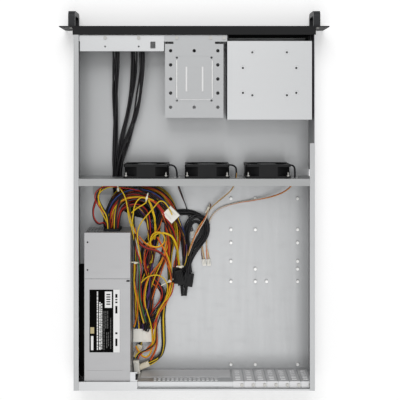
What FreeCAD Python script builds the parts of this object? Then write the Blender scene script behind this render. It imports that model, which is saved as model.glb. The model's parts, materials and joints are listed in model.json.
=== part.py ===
"""Empty 2U rackmount server case, 19 inch wide, open from above.

Lengths are millimetres, +Z is up and the front panel faces -Y. While the pieces are made, x is
measured from the middle of the case, y from the front face of the rack ears towards the rear, and z
from the underside. On export the model moves along y, so that the middle of its whole depth is at y = 0.
"""

import math
import os

import FreeCAD
import Part

os.makedirs("parts", exist_ok=True)

V = FreeCAD.Vector
AXIS_X = V(1, 0, 0)
AXIS_Y = V(0, 1, 0)
AXIS_Z = V(0, 0, 1)

# Case
SHEET = 1.2
CASE_WIDTH = 430.0
CASE_DEPTH = 650.0
CASE_HEIGHT = 88.0
RIM_WIDTH = 9.0
RIM_START_RIGHT = 209.0
WALL_SLOT_START = 260.0
WALL_SLOT_LENGTH = 15.0
WALL_SLOT_HEIGHT = 28.0
FIT_GAP = 0.2

# Front panel and rack ears
RACK_WIDTH = 482.6
PANEL_SHEET = 1.6
PANEL_FOLD = 15.6
EAR_SLOT_TO_EDGE = 8.75
EAR_SLOT_SPACING_Z = 76.2
EAR_SLOT_LENGTH = 10.0
EAR_SLOT_WIDTH = 6.8
EAR_CORNER = 2.0
PANEL_VENT_WIDTH = 5.0
PANEL_VENT_PITCH = 10.0
PANEL_VENT_BOTTOM = 11.0
PANEL_VENT_TOP = 41.0
PANEL_SIDE_VENT_COUNT = 12
PANEL_MIDDLE_VENT_COUNT = 8
PANEL_SIDE_VENT_X = 129.0

# Handles
HANDLE_TO_EDGE = 21.3
HANDLE_WIDTH = 12.0
HANDLE_HEIGHT = 68.0
HANDLE_REACH = 28.5
HANDLE_BAR = 9.0
HANDLE_CORNER = 10.0
HANDLE_INNER_CORNER = 4.0

# Hexagon screw heads
SCREW_ACROSS = 6.0
SCREW_HEAD = 1.8

# Front wall, control bracket and controls
WALL_FLANGE = 10.0
FOOT_FLANGE = 12.0
BRACKET_LEFT = 204.0
BRACKET_RIGHT = 54.0
BRACKET_REAR = 44.8
BRACKET_DROP = 16.0
BRACKET_HOLE_SPACING_X = 59.9
BRACKET_HOLE_X = 129.1
BRACKET_HOLE_Y = 36.5
BRACKET_SCREW_Y = 21.0
BRACKET_WINDOW_X = 73.8
BRACKET_WINDOW_WIDTH = 9.2
BRACKET_WINDOW_START = 27.8
BRACKET_WINDOW_LENGTH = 12.2
BRACKET_TAB_WIDTH = 7.0
BOARD_FACE_Y = 24.0
BOARD_SHEET = 1.6
BOARD_LEFT = 200.0
BOARD_RIGHT = 78.0
BOARD_BOTTOM = 50.0
BOARD_TOP = 76.0
CONTROL_Z = 63.0
POWER_X = 186.0
POWER_SIZE = 11.0
RESET_X = 166.0
RESET_SIZE = 5.0
BUTTON_TRAVEL = 2.0
BUTTON_PROUD = 1.6
BUTTON_STEM = 3.0
BUTTON_COLLAR = 1.4
BUTTON_CLEARANCE = 0.2
SWITCH_SIZE = 12.0
SWITCH_DEPTH = 6.8
LIGHT_X = (150.0, 141.0)
LIGHT_RADIUS = 1.5
LIGHT_PROUD = 0.5
USB_X = (119.0, 97.0)
USB_WIDTH = 13.1
USB_HEIGHT = 5.7
USB_WALL = 0.5
USB_POCKET = 14.0
HEADER_X = (146.0, 104.0)
HEADER_SIZE = 10.0
HEADER_DEPTH = 7.4

# Centre drive cage
CAGE_TOP = 84.2
CAGE_WIDTH = 104.4
CAGE_START = 31.9
CAGE_END = 163.8
CAGE_FLANGE = 10.0
STRIP_LEFT = 53.6
STRIP_RIGHT = -58.4
STRIP_DEPTH = 10.8
NECK_HALF = 37.1
CAGE_HOLE_RADIUS = 3.0
HOLE_SIDES = 12
CAGE_HOLE_SPACING_X = 84.2
CAGE_HOLE_START = 44.1
CAGE_HOLE_PITCH = 25.2
CAGE_HOLE_ROWS = 5
SMALL_DRIVE_X = 61.72
SMALL_DRIVE_Y = 76.6
LARGE_DRIVE_X = 95.25
LARGE_DRIVE_Y = 44.45
DRIVE_HOLE_RADIUS = 1.9
CAGE_PATTERN_Y = 94.7
STAMP_WIDTH = 68.0
STAMP_LENGTH = 82.0
STAMP_DEPTH = 0.5
INNER_STAMP_WIDTH = 30.0
INNER_STAMP_LENGTH = 40.5
INNER_STAMP_DEPTH = 0.3
BAY35_WIDTH = 102.0
BAY35_HEIGHT = 25.8
BAY35_BOTTOM = 55.8

# Double 5.25 inch cage
BIG_CAGE_X = -134.5
BIG_CAGE_WIDTH = 151.0
BIG_CAGE_START = 26.8
BIG_CAGE_END = 167.0
BIG_CAGE_TOP = 85.0
BIG_CAGE_FLANGE = 12.0
BAY525_WIDTH = 149.0
BAY525_HEIGHT = 84.0
BAY525_BOTTOM = 2.0
BIG_PATTERN_SMALL_Y = 85.3
BIG_PATTERN_LARGE_Y = 97.1
DIMPLE_RADIUS = 4.6
DIMPLE_DEPTH = 0.5
COVER_FACE = 2.5
COVER_TAB = 1.5
COVER_TAB_REACH = 40.0
COVER_CLEARANCE = 0.3

# Fan wall and the three case fans
FAN_WALL_Y = 272.5
FAN_WALL_FLANGE = 12.8
FAN_WALL_FOOT = 16.0
FOOT_TAB_X = 166.0
FOOT_TAB_WIDTH = 48.0
FOOT_TAB_LENGTH = 20.0
FAN_SIZE = 80.0
FAN_DEPTH = 25.0
FAN_FLANGE = 4.0
FAN_BORE_RADIUS = 38.0
FAN_RING = 1.7
FAN_FOOT = 2.5
FAN_X = (86.4, -23.1, -132.5)
FAN_HOLE_PITCH = 71.5
FAN_HOLE_RADIUS = 2.2
FAN_CORNER = 2.4
FAN_BEARING_WALL = 1.2
FAN_HUB_RADIUS = 17.5
FAN_HUB_WALL = 1.5
FAN_TIP_GAP = 0.9
FAN_BLADES = 7
FAN_STRUT = 3.6
FAN_BORE_SIDES = 32
FAN_HUB_SIDES = 16
FAN_BLADE_PITCH = 38.0
FAN_BLADE_CAMBER = 1.6
FAN_BLADE_SHEET = 1.5
FAN_SHAFT_RADIUS = 1.5
FAN_RUNNING_CLEARANCE = 0.05
WINDOW_CABLE_X = 143.0
WINDOW_CABLE_WIDTH = 26.0
WINDOW_CABLE_BOTTOM = 4.0
WINDOW_CABLE_TOP = 34.0
WINDOW_FAN_X = (31.6, -77.8, -184.0)
WINDOW_FAN_WIDTH = 12.0
WINDOW_FAN_BOTTOM = 36.0
WINDOW_FAN_TOP = 62.0

# Board standoffs
STANDOFF_ACROSS = 5.0
STANDOFF_HEIGHT = 6.4
BOARD_ROW_TO_REAR = 24.6
BOARD_ROW_OFFSETS = (0.0, 154.94, 227.33, 309.88)
BOARD_COLUMN_TO_SIDE = 22.0
BOARD_COLUMN_OFFSETS = (0.0, 124.46, 281.94)
EXTRA_COLUMN_OFFSETS = (79.0, 58.0)
EXTRA_ROW_OFFSETS = (178.2, 192.7, 251.9)

# Rear wall
REAR_RECESS = 14.0
REAR_JOG_GAP = 12.8
SHELF_TOP = 80.0
REAR_LIP_FOLD = 3.0
CORNER_FLANGE = 16.0
SLOT_COUNT = 7
SLOT_FIRST_X = -79.0
SLOT_PITCH = 20.32
SLOT_OPENING = 14.0
SLOT_BOTTOM = 9.0
COVER_WIDTH = 18.42
COVER_SHEET = 0.9
COVER_BOTTOM = 3.0
COVER_VENT_COUNT = 5
COVER_VENT_WIDTH = 9.0
COVER_VENT_HEIGHT = 6.0
COVER_VENT_PITCH = 12.6
SLOT_SCREW_OFFSET = -6.4
IO_X = 15.5
IO_WIDTH = 158.75
IO_HEIGHT = 44.45
IO_BOTTOM = 6.0
IO_PLATE_EDGE = 2.0
IO_PLATE_SHEET = 0.8
IO_VENT_COUNT = 15
IO_VENT_ROWS = 2
IO_VENT_WIDTH = 4.8
IO_VENT_HEIGHT = 6.4
IO_VENT_PITCH_X = 7.9
IO_VENT_PITCH_Z = 9.2
IO_VENT_BOTTOM = 58.0

# Power supply
PSU_LEFT = 196.1
PSU_RIGHT = 114.2
HARNESS_ROOM = 96.5
PSU_TOP = 84.0
PSU_SHEET = 1.0
PSU_SEAM_START = 82.0
PSU_SEAM_GAP = 0.5
PSU_RECESS_TO_SIDE = 36.1
PSU_RECESS_WIDTH = 64.0
PSU_RECESS_AFTER_SEAM = 16.5
PSU_RECESS_TO_REAR = 33.8
PSU_RECESS_DEPTH = 0.5
LABEL_TO_SIDE = 9.0
LABEL_WIDTH = 54.0
LABEL_AFTER_SEAM = 19.6
LABEL_SHORT_OF_RECESS = 35.5
LABEL_SHEET = 0.3
PSU_FAN_SIZE = 60.0
PSU_FAN_TO_SIDE = 32.1
PSU_FAN_Z = 38.0
PSU_FAN_DEPTH = 25.0
PSU_FAN_BORE_RADIUS = 28.5
PSU_FAN_HUB_RADIUS = 13.5
GRILLE_RINGS = 3
GRILLE_SPOKE = 3.0
GRILLE_BAR = 2.4
GRILLE_SIDES = 24
INLET_TO_EDGE = 10.4
INLET_Z = 24.0
INLET_WIDTH = 16.0
INLET_HEIGHT = 24.0
INLET_DEPTH = 20.0
INLET_POCKET = 16.0
SWITCH_Z = 57.0
ROCKER_BODY_WIDTH = 13.0
ROCKER_BODY_HEIGHT = 19.0
ROCKER_BODY_DEPTH = 14.0
ROCKER_WALL = 1.5
ROCKER_ANGLE = 12.0
GROMMET_TO_EDGE = 34.8
GROMMET_Z = 43.0
GROMMET_WIDTH = 30.0
GROMMET_HEIGHT = 46.0
GROMMET_PROUD = 4.0
PSU_VENT_COUNT = 5
PSU_VENT_ROWS = 3
PSU_VENT_WIDTH = 3.0
PSU_VENT_HEIGHT = 14.0
PSU_WINDOW_MARGIN = 3.0
CORNER_BRACKET_LENGTH = 33.0
CORNER_BRACKET_DROP = 40.0
CORNER_NOTCH_TO_REAR = 31.0
CORNER_NOTCH_LENGTH = 12.0
CORNER_NOTCH_DEPTH = 3.5

# Plugs: width, length and height
BOARD_PLUG = (42.0, 24.0, 11.0)
CPU_PLUG = (10.0, 21.0, 10.0)
CPU_PLUG_LONG = (10.0, 24.0, 11.0)
DRIVE_PLUG = (13.6, 30.0, 8.0)
FOUR_PIN_PLUG = (21.0, 24.0, 11.0)
USB_PLUG = (10.0, 26.0, 8.0)
SWITCH_PLUG = (5.0, 16.0, 5.6)
SWITCH_PLUG_SPREAD = 2.8
FAN_PLUG = (7.0, 12.0, 6.0)

# The cords' routes are written for a supply zone of this start and length
SUPPLY_ZONE_START = 369.0
SUPPLY_ZONE_LENGTH = 281.0

# Sides of a cord's section: a polygon with the area of the round cord
CORD_SIDES = 6
LEAD_SIDES = 4

# Sizes that follow from the ones above
HALF = CASE_WIDTH / 2
INNER = HALF - SHEET
PANEL_HALF = HALF + PANEL_SHEET
REAR_REACH = CASE_DEPTH + SCREW_HEAD
MIDDLE_Y = (REAR_REACH - HANDLE_REACH) / 2
WALL_Y = PANEL_FOLD + FIT_GAP
WALL_BACK = WALL_Y + SHEET
FLOOR = SHEET
PSU_REAR = CASE_DEPTH - SHEET
PSU_FRONT = FAN_WALL_Y + HARNESS_ROOM
HANDLE_X = RACK_WIDTH / 2 - HANDLE_TO_EDGE
EAR_SLOT_SPACING_X = RACK_WIDTH - 2 * EAR_SLOT_TO_EDGE
PSU_SEAM_Y = PSU_FRONT + PSU_SEAM_START
PSU_RECESS_X = PSU_LEFT - PSU_RECESS_TO_SIDE
PSU_RECESS_START = PSU_SEAM_Y + PSU_RECESS_AFTER_SEAM
PSU_RECESS_LENGTH = PSU_REAR - PSU_RECESS_TO_REAR - PSU_RECESS_START
LABEL_LEFT = PSU_LEFT - LABEL_TO_SIDE
LABEL_START = PSU_SEAM_Y + LABEL_AFTER_SEAM
LABEL_LENGTH = PSU_RECESS_LENGTH - LABEL_SHORT_OF_RECESS
PSU_FAN_X = PSU_LEFT - PSU_FAN_TO_SIDE
INLET_X = PSU_RIGHT + INLET_TO_EDGE
GROMMET_X = PSU_RIGHT + GROMMET_TO_EDGE
REAR_INNER_Y = CASE_DEPTH - REAR_RECESS
REAR_JOG_X = PSU_RIGHT - REAR_JOG_GAP
CORNER_BRACKET_START = CASE_DEPTH - CORNER_BRACKET_LENGTH
CORNER_NOTCH_START = CASE_DEPTH - CORNER_NOTCH_TO_REAR
BOARD_ROW_Y = CASE_DEPTH - BOARD_ROW_TO_REAR
BOARD_COLUMN_X = BOARD_COLUMN_TO_SIDE - HALF
PSU_BOTTOM = FLOOR
FAN_Z = FLOOR + FAN_FOOT - SHEET + FAN_SIZE / 2
FAN_FRONT = FAN_WALL_Y - FAN_DEPTH


def box(x0, x1, y0, y1, z0, z1):
    """A box between two corners, given in any order."""
    low = V(min(x0, x1), min(y0, y1), min(z0, z1))
    return Part.makeBox(abs(x1 - x0), abs(y1 - y0), abs(z1 - z0), low)


def round_y(x, z, radius, y0, y1):
    """A round bar along y."""
    return Part.makeCylinder(radius, y1 - y0, V(x, y0, z), AXIS_Y)


def round_z(x, y, radius, z0, z1):
    """A round bar along z."""
    return Part.makeCylinder(radius, z1 - z0, V(x, y, z0), AXIS_Z)


def prism(centre, axis, across, length, sides=6):
    """A regular prism along an axis, its sides the given distance across flats."""
    axis = V(axis)
    side = V(0, 0, 1) if abs(axis.z) < 0.5 else V(1, 0, 0)
    other = axis.cross(side)
    reach = across / 2 / math.cos(math.pi / sides)
    corners = []
    for step in range(sides + 1):
        angle = math.pi * (2 * step + 1) / sides
        corners.append(centre + side * (reach * math.cos(angle)) + other * (reach * math.sin(angle)))
    return Part.Face(Part.makePolygon(corners)).extrude(axis * length)


def fuse(shapes):
    """One solid of the pieces of a fold or a moulding."""
    first = shapes[0]
    if len(shapes) > 1:
        first = first.multiFuse(shapes[1:])
    return first.removeSplitter()


def cut(shape, tools):
    """The shape less all the tools at once."""
    return shape.cut(Part.makeCompound(tools)) if tools else shape


def save(node, shapes):
    """Move the node's solids to the row frame and write them."""
    if not isinstance(shapes, (list, tuple)):
        shapes = [shapes]
    solids = []
    for shape in shapes:
        solids.extend(shape.Solids)
    moved = []
    for solid in solids:
        copy = solid.copy()
        copy.translate(V(0, -MIDDLE_Y, 0))
        moved.append(copy)
    result = moved[0] if len(moved) == 1 else Part.makeCompound(moved)
    result.exportStep(os.path.join("parts", node + ".step"))


def rectangle_points(x, y, spacing_x, spacing_y):
    """The four corners of a hole pattern."""
    return [(x + i * spacing_x / 2, y + j * spacing_y / 2) for i in (-1, 1) for j in (-1, 1)]


def spread(middle, pitch, count):
    """Evenly pitched positions about a middle."""
    return [middle + (i - (count - 1) / 2) * pitch for i in range(count)]


def head(x, y, z, axis):
    """A hexagon screw head that stands on a face along its axis."""
    return prism(V(x, y, z), axis, SCREW_ACROSS, SCREW_HEAD)


# ---------------------------------------------------------------- case


def chassis_tray():
    """Floor, side walls and their inward rims, folded from one sheet."""
    pieces = [box(-HALF, HALF, WALL_Y, CASE_DEPTH, 0, SHEET)]
    for side in (-1, 1):
        pieces.append(box(side * INNER, side * HALF, WALL_Y, CASE_DEPTH, 0, CASE_HEIGHT))
        tongue_top = CASE_HEIGHT - PANEL_SHEET - FIT_GAP
        pieces.append(box(side * INNER, side * HALF, PANEL_SHEET + FIT_GAP, WALL_Y, 0, tongue_top))
    rim_bottom = CASE_HEIGHT - SHEET
    pieces.append(box(HALF - RIM_WIDTH, HALF, WALL_Y, CASE_DEPTH, rim_bottom, CASE_HEIGHT))
    pieces.append(box(-HALF, -HALF + RIM_WIDTH, RIM_START_RIGHT, CASE_DEPTH, rim_bottom, CASE_HEIGHT))
    slot_top = FLOOR + WALL_SLOT_HEIGHT
    slot_end = WALL_SLOT_START + WALL_SLOT_LENGTH
    slot = box(-HALF - 1, -INNER + 1, WALL_SLOT_START, slot_end, FLOOR, slot_top)
    return cut(fuse(pieces), [slot])


def panel_slots():
    """Four rack slots in the ears, rounded at both ends."""
    tools = []
    radius = EAR_SLOT_WIDTH / 2
    straight = (EAR_SLOT_LENGTH - EAR_SLOT_WIDTH) / 2
    for x, z in rectangle_points(0, CASE_HEIGHT / 2, EAR_SLOT_SPACING_X, EAR_SLOT_SPACING_Z):
        bar = box(x - straight, x + straight, -1, PANEL_SHEET + 1, z - radius, z + radius)
        ends = [round_y(x + s * straight, z, radius, -1, PANEL_SHEET + 1) for s in (-1, 1)]
        tools.append(fuse([bar] + ends))
    return tools


def panel_vents(middle, count):
    """Upright intake slots."""
    half = PANEL_VENT_WIDTH / 2
    return [
        box(x - half, x + half, -1, PANEL_SHEET + 1, PANEL_VENT_BOTTOM, PANEL_VENT_TOP)
        for x in spread(middle, PANEL_VENT_PITCH, count)
    ]


def front_panel():
    """Folded face with the rack ears, four returns and the openings for bays and controls."""
    face = box(-RACK_WIDTH / 2, RACK_WIDTH / 2, 0, PANEL_SHEET, 0, CASE_HEIGHT)
    corners = [e for e in face.Edges if abs(e.Length - PANEL_SHEET) < 0.01]
    face = face.makeChamfer(EAR_CORNER, corners)
    top = box(-PANEL_HALF, PANEL_HALF, 0, PANEL_FOLD, CASE_HEIGHT - PANEL_SHEET, CASE_HEIGHT)
    bottom_half = INNER - FIT_GAP
    bottom = box(-bottom_half, bottom_half, 0, PANEL_FOLD, 0, PANEL_SHEET)
    sides = [box(s * HALF, s * PANEL_HALF, 0, PANEL_FOLD, 0, CASE_HEIGHT) for s in (-1, 1)]
    tools = panel_slots()
    tools += panel_vents(PANEL_SIDE_VENT_X, PANEL_SIDE_VENT_COUNT) + panel_vents(0, PANEL_MIDDLE_VENT_COUNT)
    bay525_half = BAY525_WIDTH / 2
    bay525_top = BAY525_BOTTOM + BAY525_HEIGHT
    tools.append(box(BIG_CAGE_X - bay525_half, BIG_CAGE_X + bay525_half, -1, 5, BAY525_BOTTOM, bay525_top))
    tools.append(box(-BAY35_WIDTH / 2, BAY35_WIDTH / 2, -1, 5, BAY35_BOTTOM, BAY35_BOTTOM + BAY35_HEIGHT))
    for x, size in ((POWER_X, POWER_SIZE), (RESET_X, RESET_SIZE)):
        half = size / 2 + BUTTON_CLEARANCE
        tools.append(box(x - half, x + half, -1, 5, CONTROL_Z - half, CONTROL_Z + half))
    for x in LIGHT_X:
        tools.append(prism(V(x, -1, CONTROL_Z), AXIS_Y, 2 * LIGHT_RADIUS + 0.1, 6, 8))
    for x in USB_X:
        half_w = USB_WIDTH / 2 + BUTTON_CLEARANCE
        half_h = USB_HEIGHT / 2 + BUTTON_CLEARANCE
        tools.append(box(x - half_w, x + half_w, -1, 5, CONTROL_Z - half_h, CONTROL_Z + half_h))
    return cut(fuse([face, top, bottom] + sides), tools)


def handle(side):
    """A bent bar handle with two legs on the ear."""
    middle = CASE_HEIGHT / 2
    half = HANDLE_HEIGHT / 2
    x = side * HANDLE_X
    outer = box(x - HANDLE_WIDTH / 2, x + HANDLE_WIDTH / 2, -HANDLE_REACH, 0, middle - half, middle + half)
    front = [
        e
        for e in outer.Edges
        if abs(e.Length - HANDLE_WIDTH) < 0.01 and abs(e.CenterOfMass.y + HANDLE_REACH) < 0.01
    ]
    outer = outer.makeFillet(HANDLE_CORNER, front)
    inner_half = half - HANDLE_BAR
    inner_front = -HANDLE_REACH + HANDLE_BAR
    inner = box(x - HANDLE_WIDTH, x + HANDLE_WIDTH, inner_front, 5, middle - inner_half, middle + inner_half)
    front = [
        e
        for e in inner.Edges
        if abs(e.Length - 2 * HANDLE_WIDTH) < 0.01 and abs(e.CenterOfMass.y - inner_front) < 0.01
    ]
    inner = inner.makeFillet(HANDLE_INNER_CORNER, front)
    return outer.cut(inner)


def panel_screws():
    """Handle screws behind the ears and the screws in the panel's side returns."""
    leg = (HANDLE_HEIGHT - HANDLE_BAR) / 2
    middle = CASE_HEIGHT / 2
    screws = []
    for side in (-1, 1):
        for z in (middle - leg, middle + leg):
            screws.append(head(side * (HANDLE_X + 1), PANEL_SHEET, z, AXIS_Y))
            screws.append(head(side * PANEL_HALF, WALL_Y / 2 + PANEL_SHEET, z, AXIS_X * side))
    return screws


def front_wall():
    """Upright sheet behind the panel, with the flange that the cage strip and bracket are screwed to."""
    left = INNER
    right = BIG_CAGE_X + BIG_CAGE_WIDTH / 2 + FIT_GAP
    top = CAGE_TOP - SHEET
    plate = box(right, left, WALL_Y, WALL_BACK, FLOOR, top)
    flange = box(right, left, WALL_Y, WALL_BACK + WALL_FLANGE, top - SHEET, top)
    foot = box(right, left, WALL_Y, WALL_BACK + FOOT_FLANGE, FLOOR, FLOOR + SHEET)
    bay_half = BAY35_WIDTH / 2 + COVER_CLEARANCE
    bay_top = top - SHEET - FIT_GAP
    tools = [box(-bay_half, bay_half, WALL_Y - 1, WALL_BACK + 1, BAY35_BOTTOM - 1, bay_top)]
    for middle, count in ((PANEL_SIDE_VENT_X, PANEL_SIDE_VENT_COUNT), (0, PANEL_MIDDLE_VENT_COUNT)):
        half = count * PANEL_VENT_PITCH / 2
        z0 = PANEL_VENT_BOTTOM - 2
        tools.append(box(middle - half, middle + half, WALL_Y - 1, WALL_BACK + 1, z0, PANEL_VENT_TOP + 2))
    z0 = BOARD_BOTTOM
    tools.append(box(BOARD_RIGHT, BOARD_LEFT, WALL_Y - 1, WALL_BACK + 1, z0, BOARD_TOP))
    return cut(fuse([plate, flange, foot]), tools)


def control_bracket():
    """Cover plate over the front controls, with a rear drop and two tabs that carry the control board."""
    top = CAGE_TOP
    plate = box(BRACKET_RIGHT, BRACKET_LEFT, WALL_BACK, BRACKET_REAR, top - SHEET, top)
    drop = box(BRACKET_RIGHT, BRACKET_LEFT, BRACKET_REAR - SHEET, BRACKET_REAR, top - BRACKET_DROP, top)
    back = BOARD_FACE_Y + BOARD_SHEET
    tab_top = top
    pieces = [plate, drop]
    flange_end = WALL_BACK + WALL_FLANGE + FIT_GAP
    for x in (BOARD_RIGHT, BOARD_LEFT - BRACKET_TAB_WIDTH):
        tab_bottom = BOARD_BOTTOM + 4
        pieces.append(box(x, x + BRACKET_TAB_WIDTH, back, back + SHEET, tab_bottom, top - 2.6))
        pieces.append(box(x, x + BRACKET_TAB_WIDTH, back, flange_end + SHEET, top - 3.8, top - 2.6))
        pieces.append(box(x, x + BRACKET_TAB_WIDTH, flange_end, flange_end + SHEET, top - 3.8, tab_top))
    tools = []
    for x in (-1, 1):
        hole_x = BRACKET_HOLE_X + x * BRACKET_HOLE_SPACING_X / 2
        tools.append(prism(V(hole_x, BRACKET_HOLE_Y, top - 3), AXIS_Z, 3.2, 5, 8))
    half = BRACKET_WINDOW_WIDTH / 2
    window_end = BRACKET_WINDOW_START + BRACKET_WINDOW_LENGTH
    window_x = BRACKET_WINDOW_X
    tools.append(box(window_x - half, window_x + half, BRACKET_WINDOW_START, window_end, top - 2, top + 1))
    return cut(fuse(pieces), tools)


def control_board():
    """Small circuit board behind the front controls."""
    back = BOARD_FACE_Y + BOARD_SHEET
    return box(BOARD_RIGHT, BOARD_LEFT, BOARD_FACE_Y, back, BOARD_BOTTOM, BOARD_TOP)


def switch_bodies():
    """The two push switches on the control board, bored for the button stems."""
    bodies = []
    start = BOARD_FACE_Y - SWITCH_DEPTH
    half = SWITCH_SIZE / 2
    stem = BUTTON_STEM / 2 + BUTTON_CLEARANCE
    for x in (POWER_X, RESET_X):
        body = box(x - half, x + half, start, BOARD_FACE_Y, CONTROL_Z - half, CONTROL_Z + half)
        bore = box(x - stem, x + stem, start - 1, BOARD_FACE_Y - 0.5, CONTROL_Z - stem, CONTROL_Z + stem)
        bodies.append(body.cut(bore))
    return bodies


def push_button(x, size):
    """Square cap with a retaining collar and a stem that slides in its switch."""
    collar_start = PANEL_SHEET + BUTTON_CLEARANCE
    stem_end = BOARD_FACE_Y - SWITCH_DEPTH + 2.5
    pieces = []
    for half, start, end in (
        (size / 2, -BUTTON_PROUD, 8),
        (size / 2 + BUTTON_COLLAR, collar_start, collar_start + 1.2),
        (BUTTON_STEM / 2, 8, stem_end),
    ):
        pieces.append(box(x - half, x + half, start, end, CONTROL_Z - half, CONTROL_Z + half))
    return fuse(pieces)


def light_pipes():
    """Indicator light pipes from the control board to the panel."""
    across = 2 * LIGHT_RADIUS
    length = BOARD_FACE_Y + LIGHT_PROUD
    return [prism(V(x, -LIGHT_PROUD, CONTROL_Z), AXIS_Y, across, length, 8) for x in LIGHT_X]


def usb_sockets():
    """Two USB sockets with their open mouths and tongues."""
    sockets = []
    for x in USB_X:
        half_w = USB_WIDTH / 2
        half_h = USB_HEIGHT / 2
        shell = box(x - half_w, x + half_w, 0, BOARD_FACE_Y, CONTROL_Z - half_h, CONTROL_Z + half_h)
        in_w = half_w - USB_WALL
        in_h = half_h - USB_WALL
        mouth = box(x - in_w, x + in_w, -1, USB_POCKET, CONTROL_Z - in_h, CONTROL_Z + in_h)
        tongue = box(x - in_w + 0.8, x + in_w - 0.8, 1, USB_POCKET, CONTROL_Z + 0.2, CONTROL_Z + 2.0)
        sockets.append(fuse([shell.cut(mouth), tongue]))
    return sockets


def board_headers():
    """White cable sockets on the back of the control board."""
    back = BOARD_FACE_Y + BOARD_SHEET
    half = HEADER_SIZE / 2
    z0 = CONTROL_Z - half
    z1 = CONTROL_Z + half
    return [box(x - half, x + half, back, back + HEADER_DEPTH, z0, z1) for x in HEADER_X]


# ---------------------------------------------------------------- cages


def centre_cage():
    """Drive cage with its top plate run forward through a neck into the front strip."""
    half = CAGE_WIDTH / 2
    z0 = CAGE_TOP - SHEET
    strip_end = WALL_BACK + STRIP_DEPTH
    strip = box(STRIP_RIGHT, STRIP_LEFT, WALL_BACK, strip_end, z0, CAGE_TOP)
    neck = box(-NECK_HALF, NECK_HALF, strip_end, CAGE_START, z0, CAGE_TOP)
    plate = box(-half, half, CAGE_START, CAGE_END, z0, CAGE_TOP)
    pieces = [strip, neck, plate]
    for side in (-1, 1):
        pieces.append(box(side * (half - SHEET), side * half, CAGE_START, CAGE_END, FLOOR, CAGE_TOP))
        foot_in = half - SHEET - CAGE_FLANGE
        pieces.append(box(side * foot_in, side * half, CAGE_START, CAGE_END, FLOOR, FLOOR + SHEET))
    tools = []
    rows = [CAGE_HOLE_START + i * CAGE_HOLE_PITCH for i in range(CAGE_HOLE_ROWS)]
    for y in rows:
        for side in (-1, 1):
            spot = V(side * CAGE_HOLE_SPACING_X / 2, y, z0 - 1)
            tools.append(prism(spot, AXIS_Z, 2 * CAGE_HOLE_RADIUS, 4, HOLE_SIDES))
    for y in (rows[0], rows[-1]):
        tools.append(prism(V(0, y, z0 - 1), AXIS_Z, 2 * CAGE_HOLE_RADIUS, 4, HOLE_SIDES))
    for x, y in rectangle_points(0, CAGE_PATTERN_Y, SMALL_DRIVE_X, SMALL_DRIVE_Y):
        tools.append(round_z(x, y, DRIVE_HOLE_RADIUS, z0 - 1, CAGE_TOP + 1))
    stamp_z = CAGE_TOP - STAMP_DEPTH
    half_w = STAMP_WIDTH / 2
    half_l = STAMP_LENGTH / 2
    y = CAGE_PATTERN_Y
    tools.append(box(-half_w, half_w, y - half_l, y + half_l, stamp_z, CAGE_TOP + 1))
    half_w = INNER_STAMP_WIDTH / 2
    half_l = INNER_STAMP_LENGTH / 2
    tools.append(box(-half_w, half_w, y - half_l, y + half_l, stamp_z - INNER_STAMP_DEPTH, CAGE_TOP))
    return cut(fuse(pieces), tools)


def big_cage():
    """Cage for two 5.25 inch devices, with dimpled drive holes in its top."""
    half = BIG_CAGE_WIDTH / 2
    x0 = BIG_CAGE_X - half
    x1 = BIG_CAGE_X + half
    z0 = BIG_CAGE_TOP - SHEET
    pieces = [box(x0, x1, BIG_CAGE_START, BIG_CAGE_END, z0, BIG_CAGE_TOP)]
    for wall, inward in ((x0, 1), (x1, -1)):
        pieces.append(box(wall, wall + inward * SHEET, BIG_CAGE_START, BIG_CAGE_END, FLOOR, BIG_CAGE_TOP))
        foot_end = wall + inward * BIG_CAGE_FLANGE
        pieces.append(box(wall, foot_end, BIG_CAGE_START, BIG_CAGE_END, FLOOR, FLOOR + SHEET))
    tools = []
    spots = rectangle_points(BIG_CAGE_X, BIG_PATTERN_SMALL_Y, SMALL_DRIVE_X, SMALL_DRIVE_Y)
    spots += rectangle_points(BIG_CAGE_X, BIG_PATTERN_LARGE_Y, LARGE_DRIVE_X, LARGE_DRIVE_Y)
    for x, y in spots:
        tools.append(prism(V(x, y, z0 - 1), AXIS_Z, 2 * DRIVE_HOLE_RADIUS, 4, HOLE_SIDES))
        dimple = V(x, y, BIG_CAGE_TOP - DIMPLE_DEPTH)
        tools.append(prism(dimple, AXIS_Z, 2 * DIMPLE_RADIUS, 2, HOLE_SIDES))
    return cut(fuse(pieces), tools)


def cage_screws():
    """Screws in the cage strip and the control bracket."""
    spots = [(-53.3, CAGE_TOP), (-29.0, CAGE_TOP), (31.1, CAGE_TOP)]
    screws = [head(x, BRACKET_SCREW_Y, z, AXIS_Z) for x, z in spots]
    for side in (-1, 1):
        x = BRACKET_HOLE_X + side * BRACKET_HOLE_SPACING_X / 2
        screws.append(head(x, BRACKET_SCREW_Y, CAGE_TOP, AXIS_Z))
    return screws


def bay_cover(middle, half, bottom, top, reach):
    """Blank bay cover with two side tabs that run back into the cage."""
    x0 = middle - half + COVER_CLEARANCE
    x1 = middle + half - COVER_CLEARANCE
    z0 = bottom + COVER_CLEARANCE
    z1 = top - COVER_CLEARANCE
    face = box(x0, x1, 0, COVER_FACE, z0, z1)
    tab_z0 = z0 + 5
    tab_z1 = z1 - 5
    tabs = [
        box(x0, x0 + COVER_TAB, 0, reach, tab_z0, tab_z1),
        box(x1 - COVER_TAB, x1, 0, reach, tab_z0, tab_z1),
    ]
    return fuse([face] + tabs)


# ---------------------------------------------------------------- fans


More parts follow.
